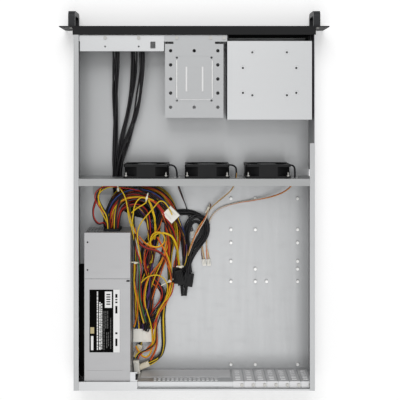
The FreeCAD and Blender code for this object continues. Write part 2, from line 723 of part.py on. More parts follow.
def fan_wall():
    """Cross wall that carries the fans, with a top flange, a foot and cable windows."""
    y0 = FAN_WALL_Y
    y1 = y0 + SHEET
    rim_gap = CASE_HEIGHT - SHEET - FIT_GAP
    middle = HALF - RIM_WIDTH - FIT_GAP
    plate = box(-INNER, INNER, y0, y1, FLOOR, rim_gap)
    crest = box(-middle, middle, y0, y1, FLOOR, CASE_HEIGHT)
    flange = box(-middle, middle, y0, y0 + FAN_WALL_FLANGE, CASE_HEIGHT - SHEET, CASE_HEIGHT)
    foot = box(-INNER, INNER, y0, y0 + FAN_WALL_FOOT, FLOOR, FLOOR + SHEET)
    half_tab = FOOT_TAB_WIDTH / 2
    tab_end = y0 + FAN_WALL_FOOT + FOOT_TAB_LENGTH
    tab = box(FOOT_TAB_X - half_tab, FOOT_TAB_X + half_tab, y0, tab_end, FLOOR, FLOOR + SHEET)
    ends = []
    for side in (-1, 1):
        end_y = y0 + FAN_WALL_FLANGE
        ends.append(box(side * (INNER - SHEET), side * INNER, y0, end_y, FLOOR, rim_gap))
    tools = [prism(V(x, y0 - 1, FAN_Z), AXIS_Y, 2 * FAN_BORE_RADIUS, 4, FAN_BORE_SIDES) for x in FAN_X]
    half = WINDOW_CABLE_WIDTH / 2
    x = WINDOW_CABLE_X
    tools.append(box(x - half, x + half, y0 - 1, y1 + 1, WINDOW_CABLE_BOTTOM, WINDOW_CABLE_TOP))
    half = WINDOW_FAN_WIDTH / 2
    for x in WINDOW_FAN_X:
        tools.append(box(x - half, x + half, y0 - 1, y1 + 1, WINDOW_FAN_BOTTOM, WINDOW_FAN_TOP))
    return cut(fuse([plate, crest, flange, foot, tab] + ends), tools)


def fan_flange(x, z, size, y0, y1):
    """Square fan flange with its corners taken off."""
    half = size / 2
    plate = box(x - half, x + half, y0, y1, z - half, z + half)
    corners = [e for e in plate.Edges if abs(e.Length - (y1 - y0)) < 0.01]
    return plate.makeChamfer(FAN_CORNER, corners)


def fan_frame(x, z, size, y0, y1, bore, hub, holes):
    """Fan frame: two flanges, the barrel between them, and the motor plate on its struts."""
    plate_start = y1 - FAN_FLANGE
    depth = y1 - y0
    front = fan_flange(x, z, size, y0, y0 + FAN_FLANGE)
    rear = fan_flange(x, z, size, plate_start, y1)
    barrel = prism(V(x, y0, z), AXIS_Y, size, depth, 8)
    hollow = prism(V(x, y0 - 1, z), AXIS_Y, 2 * bore, depth + 2, FAN_BORE_SIDES)
    shell = fuse([front, rear, barrel]).cut(hollow)
    plate = prism(V(x, plate_start, z), AXIS_Y, 2 * hub, FAN_FLANGE, FAN_HUB_SIDES)
    struts = []
    for step in range(4):
        bar = box(x, x + bore + 0.8, plate_start + 0.5, y1, z - FAN_STRUT / 2, z + FAN_STRUT / 2)
        bar.rotate(V(x, y1, z), AXIS_Y, 90 * step + 30)
        struts.append(bar)
    bore_radius = FAN_SHAFT_RADIUS + FAN_RUNNING_CLEARANCE
    tools = [round_y(x, z, bore_radius, plate_start - 1, y1 - FAN_BEARING_WALL)]
    for hole_x, hole_z in holes:
        tools.append(prism(V(hole_x, y0 - 1, hole_z), AXIS_Y, 2 * FAN_HOLE_RADIUS, FAN_FLANGE + 2, 8))
    return cut(fuse([shell, plate] + struts), tools)


def blade(hub, tip, middle_y, reach):
    """One cambered blade, set at its pitch about the radial line and run out from the hub to its tip."""
    chord = reach / math.sin(math.radians(FAN_BLADE_PITCH))
    chord = min(chord, 1.3 * hub)
    half = chord / 2
    camber = FAN_BLADE_CAMBER
    sheet = FAN_BLADE_SHEET
    outline = [(-half, 0), (-half / 3, camber), (half / 3, camber), (half, 0), (half, 0.6 * sheet)]
    outline += [(half / 3, camber + sheet), (-half / 3, camber + sheet), (-half, 0.6 * sheet), (-half, 0)]
    root = hub * 0.75
    body = Part.Face(Part.makePolygon([V(u, w, root) for u, w in outline])).extrude(AXIS_Z * (tip - root))
    body.rotate(V(0, 0, 0), AXIS_Z, FAN_BLADE_PITCH)
    body.translate(V(0, middle_y, 0))
    return body


def fan_rotor(x, z, y0, y1, bore, hub):
    """Hub on its shaft with the pitched blades."""
    front = y0 + 1.0
    rear = y1 - FAN_FLANGE - 1.5
    core = prism(V(0, front, 0), AXIS_Y, 2 * hub, rear - front, FAN_HUB_SIDES)
    shaft = round_y(0, 0, FAN_SHAFT_RADIUS, rear - 1, y1 - FAN_BEARING_WALL - 0.4)
    reach = rear - front - 4.0
    edge = math.hypot(bore - FAN_TIP_GAP, 0)
    tip = math.sqrt(edge**2 - (0.52 * hub) ** 2)
    pieces = [core, shaft]
    for step in range(FAN_BLADES):
        copy = blade(hub, tip, (front + rear) / 2 - 1, reach)
        copy.rotate(V(0, 0, 0), AXIS_Y, 360.0 * step / FAN_BLADES)
        pieces.append(copy)
    rotor = fuse(pieces)
    rotor.translate(V(x, 0, z))
    return rotor


def fan_screws():
    """Screws through the rear flanges of the case fans."""
    y = FAN_WALL_Y - FAN_FLANGE
    screws = []
    for x in FAN_X:
        for sx, sz in rectangle_points(x, FAN_Z, FAN_HOLE_PITCH, FAN_HOLE_PITCH):
            screws.append(head(sx, y, sz, AXIS_Y * -1))
    return screws


def standoffs():
    """Hexagonal board standoffs on the floor."""
    spots = []
    for column in BOARD_COLUMN_OFFSETS:
        for row in BOARD_ROW_OFFSETS:
            spots.append((BOARD_COLUMN_X + column, BOARD_ROW_Y - row))
    second = BOARD_COLUMN_X + EXTRA_COLUMN_OFFSETS[0]
    for row in BOARD_ROW_OFFSETS[:2] + BOARD_ROW_OFFSETS[3:]:
        spots.append((second, BOARD_ROW_Y - row))
    for row in EXTRA_ROW_OFFSETS:
        spots.append((BOARD_COLUMN_X, BOARD_ROW_Y - row))
    spots.append((second, BOARD_ROW_Y - EXTRA_ROW_OFFSETS[0]))
    spots.append((second, BOARD_ROW_Y - EXTRA_ROW_OFFSETS[2]))
    spots.append((BOARD_COLUMN_X + EXTRA_COLUMN_OFFSETS[1], BOARD_ROW_Y - BOARD_ROW_OFFSETS[1]))
    first = BOARD_COLUMN_X + BOARD_COLUMN_OFFSETS[1]
    spots.append((first, BOARD_ROW_Y - EXTRA_ROW_OFFSETS[1]))
    spots.append((first, BOARD_ROW_Y - EXTRA_ROW_OFFSETS[2]))
    return [prism(V(x, y, FLOOR), AXIS_Z, STANDOFF_ACROSS, STANDOFF_HEIGHT) for x, y in spots]


# ---------------------------------------------------------------- rear


def slot_positions():
    """The x of each card slot."""
    return [SLOT_FIRST_X - i * SLOT_PITCH for i in range(SLOT_COUNT)]


def io_vents():
    """Vent openings in the rear wall above the I/O window."""
    tools = []
    for row in range(IO_VENT_ROWS):
        z = IO_VENT_BOTTOM + row * IO_VENT_PITCH_Z
        for x in spread(IO_X, IO_VENT_PITCH_X, IO_VENT_COUNT):
            half = IO_VENT_WIDTH / 2
            tools.append(box(x - half, x + half, REAR_INNER_Y - 1, REAR_INNER_Y + 5, z, z + IO_VENT_HEIGHT))
    return tools


def rear_wall():
    """Rear wall: recessed I/O and slot zone with the tab shelf, and the power supply zone at the corner."""
    y0 = REAR_INNER_Y
    y1 = y0 + SHEET
    outer = CASE_DEPTH - SHEET
    rim = HALF - RIM_WIDTH - FIT_GAP
    rim_gap = CASE_HEIGHT - SHEET - FIT_GAP
    left = INNER
    zone = box(-INNER, REAR_JOG_X + SHEET, y0, y1, FLOOR, SHELF_TOP)
    shelf = box(-INNER, REAR_JOG_X + SHEET, y0, CASE_DEPTH, SHELF_TOP - SHEET, SHELF_TOP)
    lip = box(-INNER, REAR_JOG_X, outer, CASE_DEPTH, SHELF_TOP - SHEET, rim_gap)
    crest = box(-rim, REAR_JOG_X, outer, CASE_DEPTH, SHELF_TOP, CASE_HEIGHT)
    fold = box(-rim, REAR_JOG_X, CASE_DEPTH - REAR_LIP_FOLD, CASE_DEPTH, CASE_HEIGHT - SHEET, CASE_HEIGHT)
    jog = box(REAR_JOG_X, REAR_JOG_X + SHEET, y0, CASE_DEPTH, FLOOR, CASE_HEIGHT)
    corner = box(REAR_JOG_X, left, outer, CASE_DEPTH, FLOOR, rim_gap)
    corner_crest = box(REAR_JOG_X, rim, outer, CASE_DEPTH, FLOOR, CASE_HEIGHT)
    flange_start = CASE_DEPTH - CORNER_FLANGE
    flange = box(REAR_JOG_X, rim, flange_start, CASE_DEPTH, CASE_HEIGHT - SHEET, CASE_HEIGHT)
    tools = io_vents()
    half = SLOT_OPENING / 2
    for x in slot_positions():
        tools.append(box(x - half, x + half, y0 - 1, y1 + 1, SLOT_BOTTOM, SHELF_TOP - SHEET))
    half = IO_WIDTH / 2
    tools.append(box(IO_X - half, IO_X + half, y0 - 1, y1 + 1, IO_BOTTOM, IO_BOTTOM + IO_HEIGHT))
    margin = PSU_WINDOW_MARGIN
    x0 = PSU_RIGHT + margin
    x1 = PSU_LEFT - margin
    tools.append(box(x0, x1, outer - 1, CASE_DEPTH + 1, PSU_BOTTOM + margin, PSU_TOP - margin))
    return cut(fuse([zone, shelf, lip, crest, fold, jog, corner, corner_crest, flange]), tools)


def corner_bracket():
    """Folded bracket beside the power supply, under the rear flange."""
    z1 = CASE_HEIGHT - SHEET
    z0 = z1 - SHEET
    top = box(REAR_JOG_X + SHEET, PSU_RIGHT, CORNER_BRACKET_START, PSU_REAR, z0, z1)
    tail = box(REAR_JOG_X, PSU_RIGHT, CORNER_BRACKET_START, REAR_INNER_Y, z0, z1)
    side = box(PSU_RIGHT - SHEET, PSU_RIGHT, CORNER_BRACKET_START, PSU_REAR, z1 - CORNER_BRACKET_DROP, z1)
    notch_end = CORNER_NOTCH_START + CORNER_NOTCH_LENGTH
    notch_x = REAR_JOG_X + CORNER_NOTCH_DEPTH
    notch = box(REAR_JOG_X - 1, notch_x, CORNER_NOTCH_START, notch_end, z0 - 1, z1 + 1)
    return cut(fuse([top, tail, side]), [notch])


def io_plate():
    """I/O plate in its window, with typical port openings."""
    y0 = REAR_INNER_Y - IO_PLATE_SHEET
    edge = IO_PLATE_EDGE
    half = IO_WIDTH / 2 + edge
    low = IO_BOTTOM - edge
    high = IO_BOTTOM + IO_HEIGHT + edge
    plate = box(IO_X - half, IO_X + half, y0, REAR_INNER_Y, low, high)
    base = IO_BOTTOM + 2.0
    ports = [
        (66.0, 14.0, 28.0),
        (36.0, 30.0, 12.0),
        (4.0, 14.0, 15.5),
        (-14.0, 16.5, 14.0),
        (-42.0, 14.0, 30.0),
    ]
    tools = []
    for x, width, height in ports:
        tools.append(box(IO_X + x - width / 2, IO_X + x + width / 2, y0 - 1, y0 + 3, base, base + height))
    return cut(plate, tools)


def slot_covers():
    """Low slot covers: vented blade inside the wall and a tab bent over the shelf."""
    covers = []
    half = COVER_WIDTH / 2
    y0 = REAR_INNER_Y - COVER_SHEET
    tab_end = CASE_DEPTH - REAR_LIP_FOLD - 0.5
    for x in slot_positions():
        blade = box(x - half, x + half, y0, REAR_INNER_Y, COVER_BOTTOM, SHELF_TOP + COVER_SHEET)
        tab = box(x - half, x + half, y0, tab_end, SHELF_TOP, SHELF_TOP + COVER_SHEET)
        tools = []
        vent_half = COVER_VENT_WIDTH / 2
        start = SLOT_BOTTOM + 4
        for step in range(COVER_VENT_COUNT):
            z = start + step * COVER_VENT_PITCH
            tools.append(box(x - vent_half, x + vent_half, y0 - 1, y0 + 3, z, z + COVER_VENT_HEIGHT))
        covers.append(cut(fuse([blade, tab]), tools))
    return covers


def slot_screws():
    """Screws on the tabs of the slot covers."""
    y = (REAR_INNER_Y + CASE_DEPTH - REAR_LIP_FOLD) / 2
    z = SHELF_TOP + COVER_SHEET
    return [head(x + SLOT_SCREW_OFFSET, y, z, AXIS_Z) for x in slot_positions()]


# ---------------------------------------------------------------- power supply


def grille(x, z, radius, y0, y1):
    """Openings of a stamped finger grille: arcs between rings, parted by a cross of spokes."""
    pitch = radius / GRILLE_RINGS
    cross = []
    for turn in (45, 135):
        spoke_half = GRILLE_SPOKE / 2
        spoke = box(x - radius - 1, x + radius + 1, y0 - 1, y1 + 1, z - spoke_half, z + spoke_half)
        spoke.rotate(V(x, y0, z), AXIS_Y, turn)
        cross.append(spoke)
    tools = []
    for ring in range(1, GRILLE_RINGS):
        outer = prism(V(x, y0, z), AXIS_Y, 2 * (ring + 1) * pitch - GRILLE_BAR, y1 - y0, GRILLE_SIDES)
        inner = prism(V(x, y0, z), AXIS_Y, 2 * ring * pitch + GRILLE_BAR, y1 - y0, GRILLE_SIDES)
        tools += outer.cut(inner).cut(Part.makeCompound(cross)).Solids
    return tools


def psu_case():
    """Power supply case: floor, sides, vented front and rear with its grille and cut-outs."""
    wall = PSU_SHEET
    top = PSU_TOP - wall
    shell = box(PSU_RIGHT, PSU_LEFT, PSU_FRONT, PSU_REAR, PSU_BOTTOM, top)
    front = PSU_FRONT + wall
    back = PSU_REAR - wall
    inside = box(PSU_RIGHT + wall, PSU_LEFT - wall, front, back, PSU_BOTTOM + wall, PSU_TOP)
    rear0 = PSU_REAR - wall - 1
    rear1 = PSU_REAR + 1
    tools = grille(PSU_FAN_X, PSU_FAN_Z, PSU_FAN_BORE_RADIUS, rear0, rear1)
    half_w = INLET_WIDTH / 2
    half_h = INLET_HEIGHT / 2
    tools.append(box(INLET_X - half_w, INLET_X + half_w, rear0, rear1, INLET_Z - half_h, INLET_Z + half_h))
    half_w = ROCKER_BODY_WIDTH / 2
    half_h = ROCKER_BODY_HEIGHT / 2
    tools.append(box(INLET_X - half_w, INLET_X + half_w, rear0, rear1, SWITCH_Z - half_h, SWITCH_Z + half_h))
    half_w = GROMMET_WIDTH / 2 - 2
    half_h = GROMMET_HEIGHT / 2 - 2
    front0 = PSU_FRONT - 1
    front1 = PSU_FRONT + wall + 1
    x0 = GROMMET_X - half_w
    x1 = GROMMET_X + half_w
    tools.append(box(x0, x1, front0, front1, GROMMET_Z - half_h, GROMMET_Z + half_h))
    vent_middle = (PSU_LEFT + GROMMET_X + GROMMET_WIDTH / 2) / 2
    for row in range(PSU_VENT_ROWS):
        z = PSU_BOTTOM + 10 + row * (PSU_VENT_HEIGHT + 6)
        for x in spread(vent_middle, 5.4, PSU_VENT_COUNT):
            vent_half = PSU_VENT_WIDTH / 2
            tools.append(box(x - vent_half, x + vent_half, front0, front1, z, z + PSU_VENT_HEIGHT))
    return cut(shell.cut(inside), tools)


def psu_lid(start, end, recess):
    """One of the two top plates of the power supply."""
    z0 = PSU_TOP - PSU_SHEET
    plate = box(PSU_RIGHT, PSU_LEFT, start, end, z0, PSU_TOP)
    if not recess:
        holes = [prism(V(PSU_LEFT - 5.6, y, z0 - 1), AXIS_Z, 3.0, 4, 8) for y in (start + 17, end - 15.6)]
        return cut(plate, holes)
    half = PSU_RECESS_WIDTH / 2
    recess_end = PSU_RECESS_START + PSU_RECESS_LENGTH
    floor_z = PSU_TOP - PSU_RECESS_DEPTH
    x = PSU_RECESS_X
    field = box(x - half, x + half, PSU_RECESS_START, recess_end, floor_z, PSU_TOP + 1)
    notch = box(PSU_RIGHT - 1, PSU_RIGHT + 7, start + 2, start + 5, z0 - 1, PSU_TOP + 1)
    return cut(plate, [field, notch])


def psu_label():
    """Bare label in the recessed field."""
    z0 = PSU_TOP - PSU_RECESS_DEPTH
    end = LABEL_START + LABEL_LENGTH
    return box(LABEL_LEFT - LABEL_WIDTH, LABEL_LEFT, LABEL_START, end, z0, z0 + LABEL_SHEET)


def psu_board():
    """Power supply's circuit board with its transformer, capacitors and heat sinks as plain blocks."""
    base = PSU_BOTTOM + PSU_SHEET
    x0 = PSU_RIGHT + PSU_SHEET + 2
    x1 = PSU_LEFT - PSU_SHEET - 2
    y0 = PSU_FRONT + PSU_SHEET + 4
    y1 = PSU_REAR - PSU_SHEET - PSU_FAN_DEPTH - 6
    top = base + 6.6
    board = box(x0, x1, y0, y1, base + 5, top)
    posts = []
    for x in (x0 + 3, x1 - 6):
        for y in (y0 + 3, y1 - 6):
            posts.append(box(x, x + 3, y, y + 3, base, base + 5))
    length = y1 - y0
    width = x1 - x0
    room = PSU_TOP - PSU_SHEET - top
    start = y0 + 0.38 * length
    end = y0 + 0.55 * length
    transformer = box(x0 + 0.29 * width, x0 + 0.74 * width, start, end, top, top + 0.56 * room)
    sinks = []
    start = y0 + 0.25 * length
    end = y0 + 0.84 * length
    sheet = 0.05 * width
    for x in (x0 + 0.08 * width, x1 - 0.13 * width):
        sinks.append(box(x, x + sheet, start, end, top, top + 0.86 * room))
    large = V(x0 + 0.37 * width, y0 + 0.67 * length, top)
    small = V(x0 + 0.69 * width, y0 + 0.8 * length, top)
    capacitors = [
        prism(large, AXIS_Z, 0.32 * width, 0.5 * room, 12),
        prism(small, AXIS_Z, 0.27 * width, 0.44 * room, 12),
    ]
    return fuse([board, transformer] + posts + sinks + capacitors)


def grommet():
    """Rubber grommet that the harness leaves through."""
    half_w = GROMMET_WIDTH / 2
    half_h = GROMMET_HEIGHT / 2
    x = GROMMET_X
    z = GROMMET_Z
    collar = box(x - half_w, x + half_w, PSU_FRONT - GROMMET_PROUD, PSU_FRONT, z - half_h, z + half_h)
    edges = [e for e in collar.Edges if abs(e.Length - GROMMET_PROUD) < 0.01]
    collar = collar.makeChamfer(4, edges)
    neck_w = half_w - 2
    neck_h = half_h - 2
    neck = box(x - neck_w, x + neck_w, PSU_FRONT, PSU_FRONT + PSU_SHEET, z - neck_h, z + neck_h)
    return fuse([collar, neck])


def mains_inlet():
    """Appliance inlet with its pocket and three pins."""
    half_w = INLET_WIDTH / 2
    half_h = INLET_HEIGHT / 2
    rear = PSU_REAR
    x = INLET_X
    z = INLET_Z
    body = box(x - half_w, x + half_w, rear - INLET_DEPTH, rear, z - half_h, z + half_h)
    pocket_w = half_w - 2
    pocket_h = half_h - 2
    pocket_start = rear - INLET_POCKET
    pocket = box(x - pocket_w, x + pocket_w, pocket_start, rear + 1, z - pocket_h, z + pocket_h)
    pins = []
    for aside, rise in ((2.5, 0), (-2.5, 7), (-2.5, -7)):
        px = x + aside
        pz = z + rise
        pins.append(box(px - 2, px + 2, rear - INLET_POCKET - 1, rear - 2, pz - 1, pz + 1))
    return fuse([body.cut(pocket)] + pins)


def rocker_body():
    """Mains switch body: open frame with the pivot pin across it."""
    half_w = ROCKER_BODY_WIDTH / 2
    half_h = ROCKER_BODY_HEIGHT / 2
    rear = PSU_REAR
    x = INLET_X
    wall = ROCKER_WALL
    body = box(x - half_w, x + half_w, rear - ROCKER_BODY_DEPTH, rear, SWITCH_Z - half_h, SWITCH_Z + half_h)
    pocket_w = half_w - wall
    pocket_h = half_h - wall
    pocket = box(x - pocket_w, x + pocket_w, rear - 9, rear + 1, SWITCH_Z - pocket_h, SWITCH_Z + pocket_h)
    pin = Part.makeCylinder(1.0, 2 * half_w - wall, V(x - half_w + wall / 2, rear - 4, SWITCH_Z), AXIS_X)
    return fuse([body.cut(pocket), pin])


def rocker():
    """Mains rocker, hollow for its pivot pin, at rest in its off position."""
    half_w = ROCKER_BODY_WIDTH / 2 - ROCKER_WALL - 0.3
    half_h = ROCKER_BODY_HEIGHT / 2 - ROCKER_WALL - 1.0
    x = INLET_X
    rear = PSU_REAR
    profile = [
        V(x - half_w, rear - 6.2, SWITCH_Z - 2.5),
        V(x - half_w, rear - 3.5, SWITCH_Z - half_h),
        V(x - half_w, rear - 0.6, SWITCH_Z - half_h),
        V(x - half_w, rear - 1.6, SWITCH_Z),
        V(x - half_w, rear - 0.6, SWITCH_Z + half_h),
        V(x - half_w, rear - 3.5, SWITCH_Z + half_h),
        V(x - half_w, rear - 6.2, SWITCH_Z + 2.5),
        V(x - half_w, rear - 6.2, SWITCH_Z - 2.5),
    ]
    body = Part.Face(Part.makePolygon(profile)).extrude(AXIS_X * (2 * half_w))
    body = body.cut(Part.makeCylinder(1.05, 2 * half_w + 2, V(x - half_w - 1, rear - 4, SWITCH_Z), AXIS_X))
    body.rotate(V(x, rear - 4, SWITCH_Z), AXIS_X, ROCKER_ANGLE)
    return body


def psu_screws():
    """Screws that hold the power supply to the rear wall."""
    x0 = PSU_RIGHT - 5.5
    x1 = PSU_LEFT + 5.5
    spots = [(x1, 12.0), (x1, 74.0), (x0, 74.0)]
    return [head(x, CASE_DEPTH, z, AXIS_Y) for x, z in spots]


# ---------------------------------------------------------------- cables


def section(centre, direction, diameter, sides):
    """Closed wire of a cord's section, across its direction."""
    up = V(0, 0, 1) if abs(direction.z) < 0.9 else V(1, 0, 0)
    side = direction.cross(up)
    side.normalize()
    top = side.cross(direction)
    radius = diameter / 2 * math.sqrt(2 * math.pi / (sides * math.sin(2 * math.pi / sides)))
    corners = []
    for step in range(sides + 1):
        angle = math.pi * (2 * step + 1) / sides
        corners.append(centre + side * (radius * math.cos(angle)) + top * (radius * math.sin(angle)))
    return Part.makePolygon(corners)


def cord(name, diameter, points, sides=CORD_SIDES):
    """A tube along straight runs joined by tangent arcs, written as a node of its own."""
    route = [V(*p) for p in points]
    wire = section(route[0], (route[1] - route[0]).normalize(), diameter, sides)
    faces = [Part.Face(wire)]
    at = route[0]
    length = 0.0
    radii = []
    for i in range(1, len(route) - 1):
        before = route[i] - route[i - 1]
        after = route[i + 1] - route[i]
        turn = before.getAngle(after)
        shorter = min(before.Length, after.Length)
        radius = 0.45 * shorter / math.tan(turn / 2)
        radii.append(radius)
        into = V(before).normalize()
        out = V(after).normalize()
        arc_start = route[i] - into * (0.45 * shorter)
        run = arc_start - at
        faces += wire.extrude(run).Faces
        wire = wire.copy()
        wire.translate(run)
        axis = into.cross(out).normalize()
        centre = arc_start + axis.cross(into) * radius
        faces += wire.revolve(centre, axis, math.degrees(turn)).Faces
        wire = wire.copy()
        wire.rotate(centre, axis, math.degrees(turn))
        at = route[i] + out * (0.45 * shorter)
        length += run.Length + radius * turn
    run = route[-1] - at
    length += run.Length
    faces += wire.extrude(run).Faces
    wire = wire.copy()
    wire.translate(run)
    faces.append(Part.Face(wire))
    shell = Part.Compound(faces)
    shell.sewShape(0.001)
    solid = Part.Solid(shell.Shells[0])
    if solid.Volume < 0:
        solid.reverse()
    expected = math.pi * diameter**2 / 4 * length
    ratio = solid.Volume / expected
    print(f"{name}: length {length:.0f}, volume ratio {ratio:.4f}, least radius {min(radii):.1f}")
    print("  radii " + " ".join(f"{r:.0f}" for r in radii))
    save(name, solid)
    return solid


def plug(centre, size, turn=0.0, tilt=0.0):
    """A plug's housing: a box about its centre, turned about z."""
    width, length, height = size
    body = box(-width / 2, width / 2, -length / 2, length / 2, -height / 2, height / 2)
    body.rotate(V(0, 0, 0), AXIS_X, tilt)
    body.rotate(V(0, 0, 0), AXIS_Z, turn)
    body.translate(V(*centre))
    return body


GROMMET_FACE = PSU_FRONT - GROMMET_PROUD
HEADER_FACE = BOARD_FACE_Y + BOARD_SHEET + HEADER_DEPTH

CABLES = {
    "atx_cable_a": (13.0, [
        (155, GROMMET_FACE, 46), (155, 332, 46), (143, 303, 41), (112, 289, 37), (78, 297, 34), (54, 322, 32),
        (45, 360, 31), (51, 410, 30), (70, 456, 24), (84, 504, 15), (84, 556, 15),
    ]),
    "atx_cable_b": (13.0, [
        (141, GROMMET_FACE, 46), (141, 340, 46), (128, 316, 36), (98, 308, 24), (74, 324, 18),
        (66, 360, 17.4),
        (76, 408, 17), (91, 458, 16.6), (101, 506, 15), (101, 556, 15),
    ]),
    "cpu_cable": (8.0, [
        (154, GROMMET_FACE, 29), (154, 335, 29), (142, 306, 22), (112, 288, 15), (76, 290, 11.6),
        (48, 306, 11.4),
        (35, 338, 11.4), (37, 384, 11.4), (48, 428, 6.4), (45, 478, 5.8), (58, 524, 5.8), (58, 566, 7.0),
        (57, 592, 10), (65, 613, 13), (84, 621, 13),
    ]),
    "cpu_cable_b": (6.0, [(72, 532, 5), (81, 550, 5), (93, 566, 5), (101, 588, 5)]),
    "sata_cable": (8.0, [
        (142, GROMMET_FACE, 59), (142, 336, 59), (131, 303, 54), (102, 288, 49), (66, 294, 44), (41, 318, 42),
        (29, 356, 36), (28, 394, 22), (33.5, 425, 5.8), (33.5, 444, 5.8),
    ]),
    "molex_cable": (8.0, [
        (155, GROMMET_FACE, 60), (155, 344, 60), (170, 326, 62), (179, 303, 62), (160, 287.5, 63),
        (126, 288, 62.4),
        (92, 296, 59.6), (69.5, 312.5, 52), (50.5, 331.5, 52),
    ]),
    "front_usb_cable": (5.0, [
        (HEADER_X[1], HEADER_FACE, CONTROL_Z), (HEADER_X[1], 60, CONTROL_Z), (109, 100, 36), (122, 148, 11),
        (136, 200, 6), (140, 252, 8.4), (138, 296, 7), (120, 324, 4.3), (80, 336, 4.1), (42, 338, 4.1),
        (8, 336, 4.1), (-18, 348, 4.1), (-27, 372, 4.1), (-18, 396, 4.1), (0, 407, 4.1),
        (11, 415, 4.4), (11, 429, 4.4),
    ]),
    "front_panel_cable": (5.0, [
        (HEADER_X[0], HEADER_FACE, CONTROL_Z), (HEADER_X[0], 60, CONTROL_Z), (149, 100, 36), (148, 152, 11),
        (145, 206, 6), (149, 258, 8.4), (149, 304, 7), (136, 334, 4.3), (104, 350, 4.1), (62, 355, 4.1),
        (32, 370, 4.1), (19, 398, 4.1), (20, 432, 4.1), (20, 466, 4.1),
    ]),
    "fan_cable_1": (3.0, [
        (FAN_X[0] - 40, 250, 49), (37, 250, 49), (31.6, 259, 49), (31, 284, 43), (24, 306, 22), (16, 326, 11),
        (9, 352, 7.8), (4, 376, 3.8),
    ]),
    "fan_cable_2": (3.0, [
        (FAN_X[1] - 40, 250, 49), (-73, 250, 49), (-77.8, 259, 49), (-74, 292, 44), (-48, 316, 24),
        (-24, 340, 9.4),
        (-14, 376, 8.6), (-13, 404, 9.0), (-17, 428, 4.2),
    ]),
    "fan_cable_3": (3.0, [
        (FAN_X[2] - 40, 250, 49), (-181, 250, 49), (-184, 259, 49), (-183, 284, 45), (-163, 304, 30),
        (-122, 317, 11.6), (-76, 323, 3.6), (-38, 336, 8.4), (-24, 368, 9.6), (-22, 404, 8.0),
        (-26, 428, 4.2),
    ]),
}


def route_point(x, y, z):
    """A cord's point: behind the supply's front it keeps its share of the way to the rear wall."""
    if y > SUPPLY_ZONE_START:
        share = (y - SUPPLY_ZONE_START) / SUPPLY_ZONE_LENGTH
        y = PSU_FRONT + share * (CASE_DEPTH - PSU_FRONT)
    return x, y, z


def plug_on(cable, size, turn=0.0, rise=0.0, aside=0.0, gap=0.0):
    """A plug's housing on the far end of its cord, turned about z."""
    x, y, z = route_point(*CABLES[cable][1][-1])
    angle = math.radians(turn)
    reach = size[1] / 2 + gap
    centre = (x + aside - reach * math.sin(angle), y + reach * math.cos(angle), z + rise)
    return plug(centre, size, turn)


def write_cables():
    """All cords with their plugs."""
    for name, (diameter, points) in CABLES.items():
        route = [route_point(*point) for point in points]
        cord(name, diameter, route, LEAD_SIDES if diameter < 6 else CORD_SIDES)
    save("atx_plug", plug_on("atx_cable_a", BOARD_PLUG, aside=8.0))
    upper = plug_on("cpu_cable", CPU_PLUG, -67.0, gap=0.1)
    lower = plug_on("cpu_cable_b", CPU_PLUG_LONG, -20.0, rise=1.8)
    save("cpu_plugs", [upper, lower])
    save("sata_plug", plug_on("sata_cable", DRIVE_PLUG))
    save("molex_plug", plug_on("molex_cable", FOUR_PIN_PLUG, 45.0))
    save("usb_plug", plug_on("front_usb_cable", USB_PLUG, rise=1.1))
    sides = (-SWITCH_PLUG_SPREAD, SWITCH_PLUG_SPREAD)
    save("switch_plugs", [plug_on("front_panel_cable", SWITCH_PLUG, rise=0.1, aside=x) for x in sides])
    spots = (("fan_cable_1", 12.0, 0.6), ("fan_cable_2", 10.0, 0.0), ("fan_cable_3", 8.0, 0.0))
    save("fan_plugs", [plug_on(name, FAN_PLUG, turn, rise, gap=1.0) for name, turn, rise in spots])


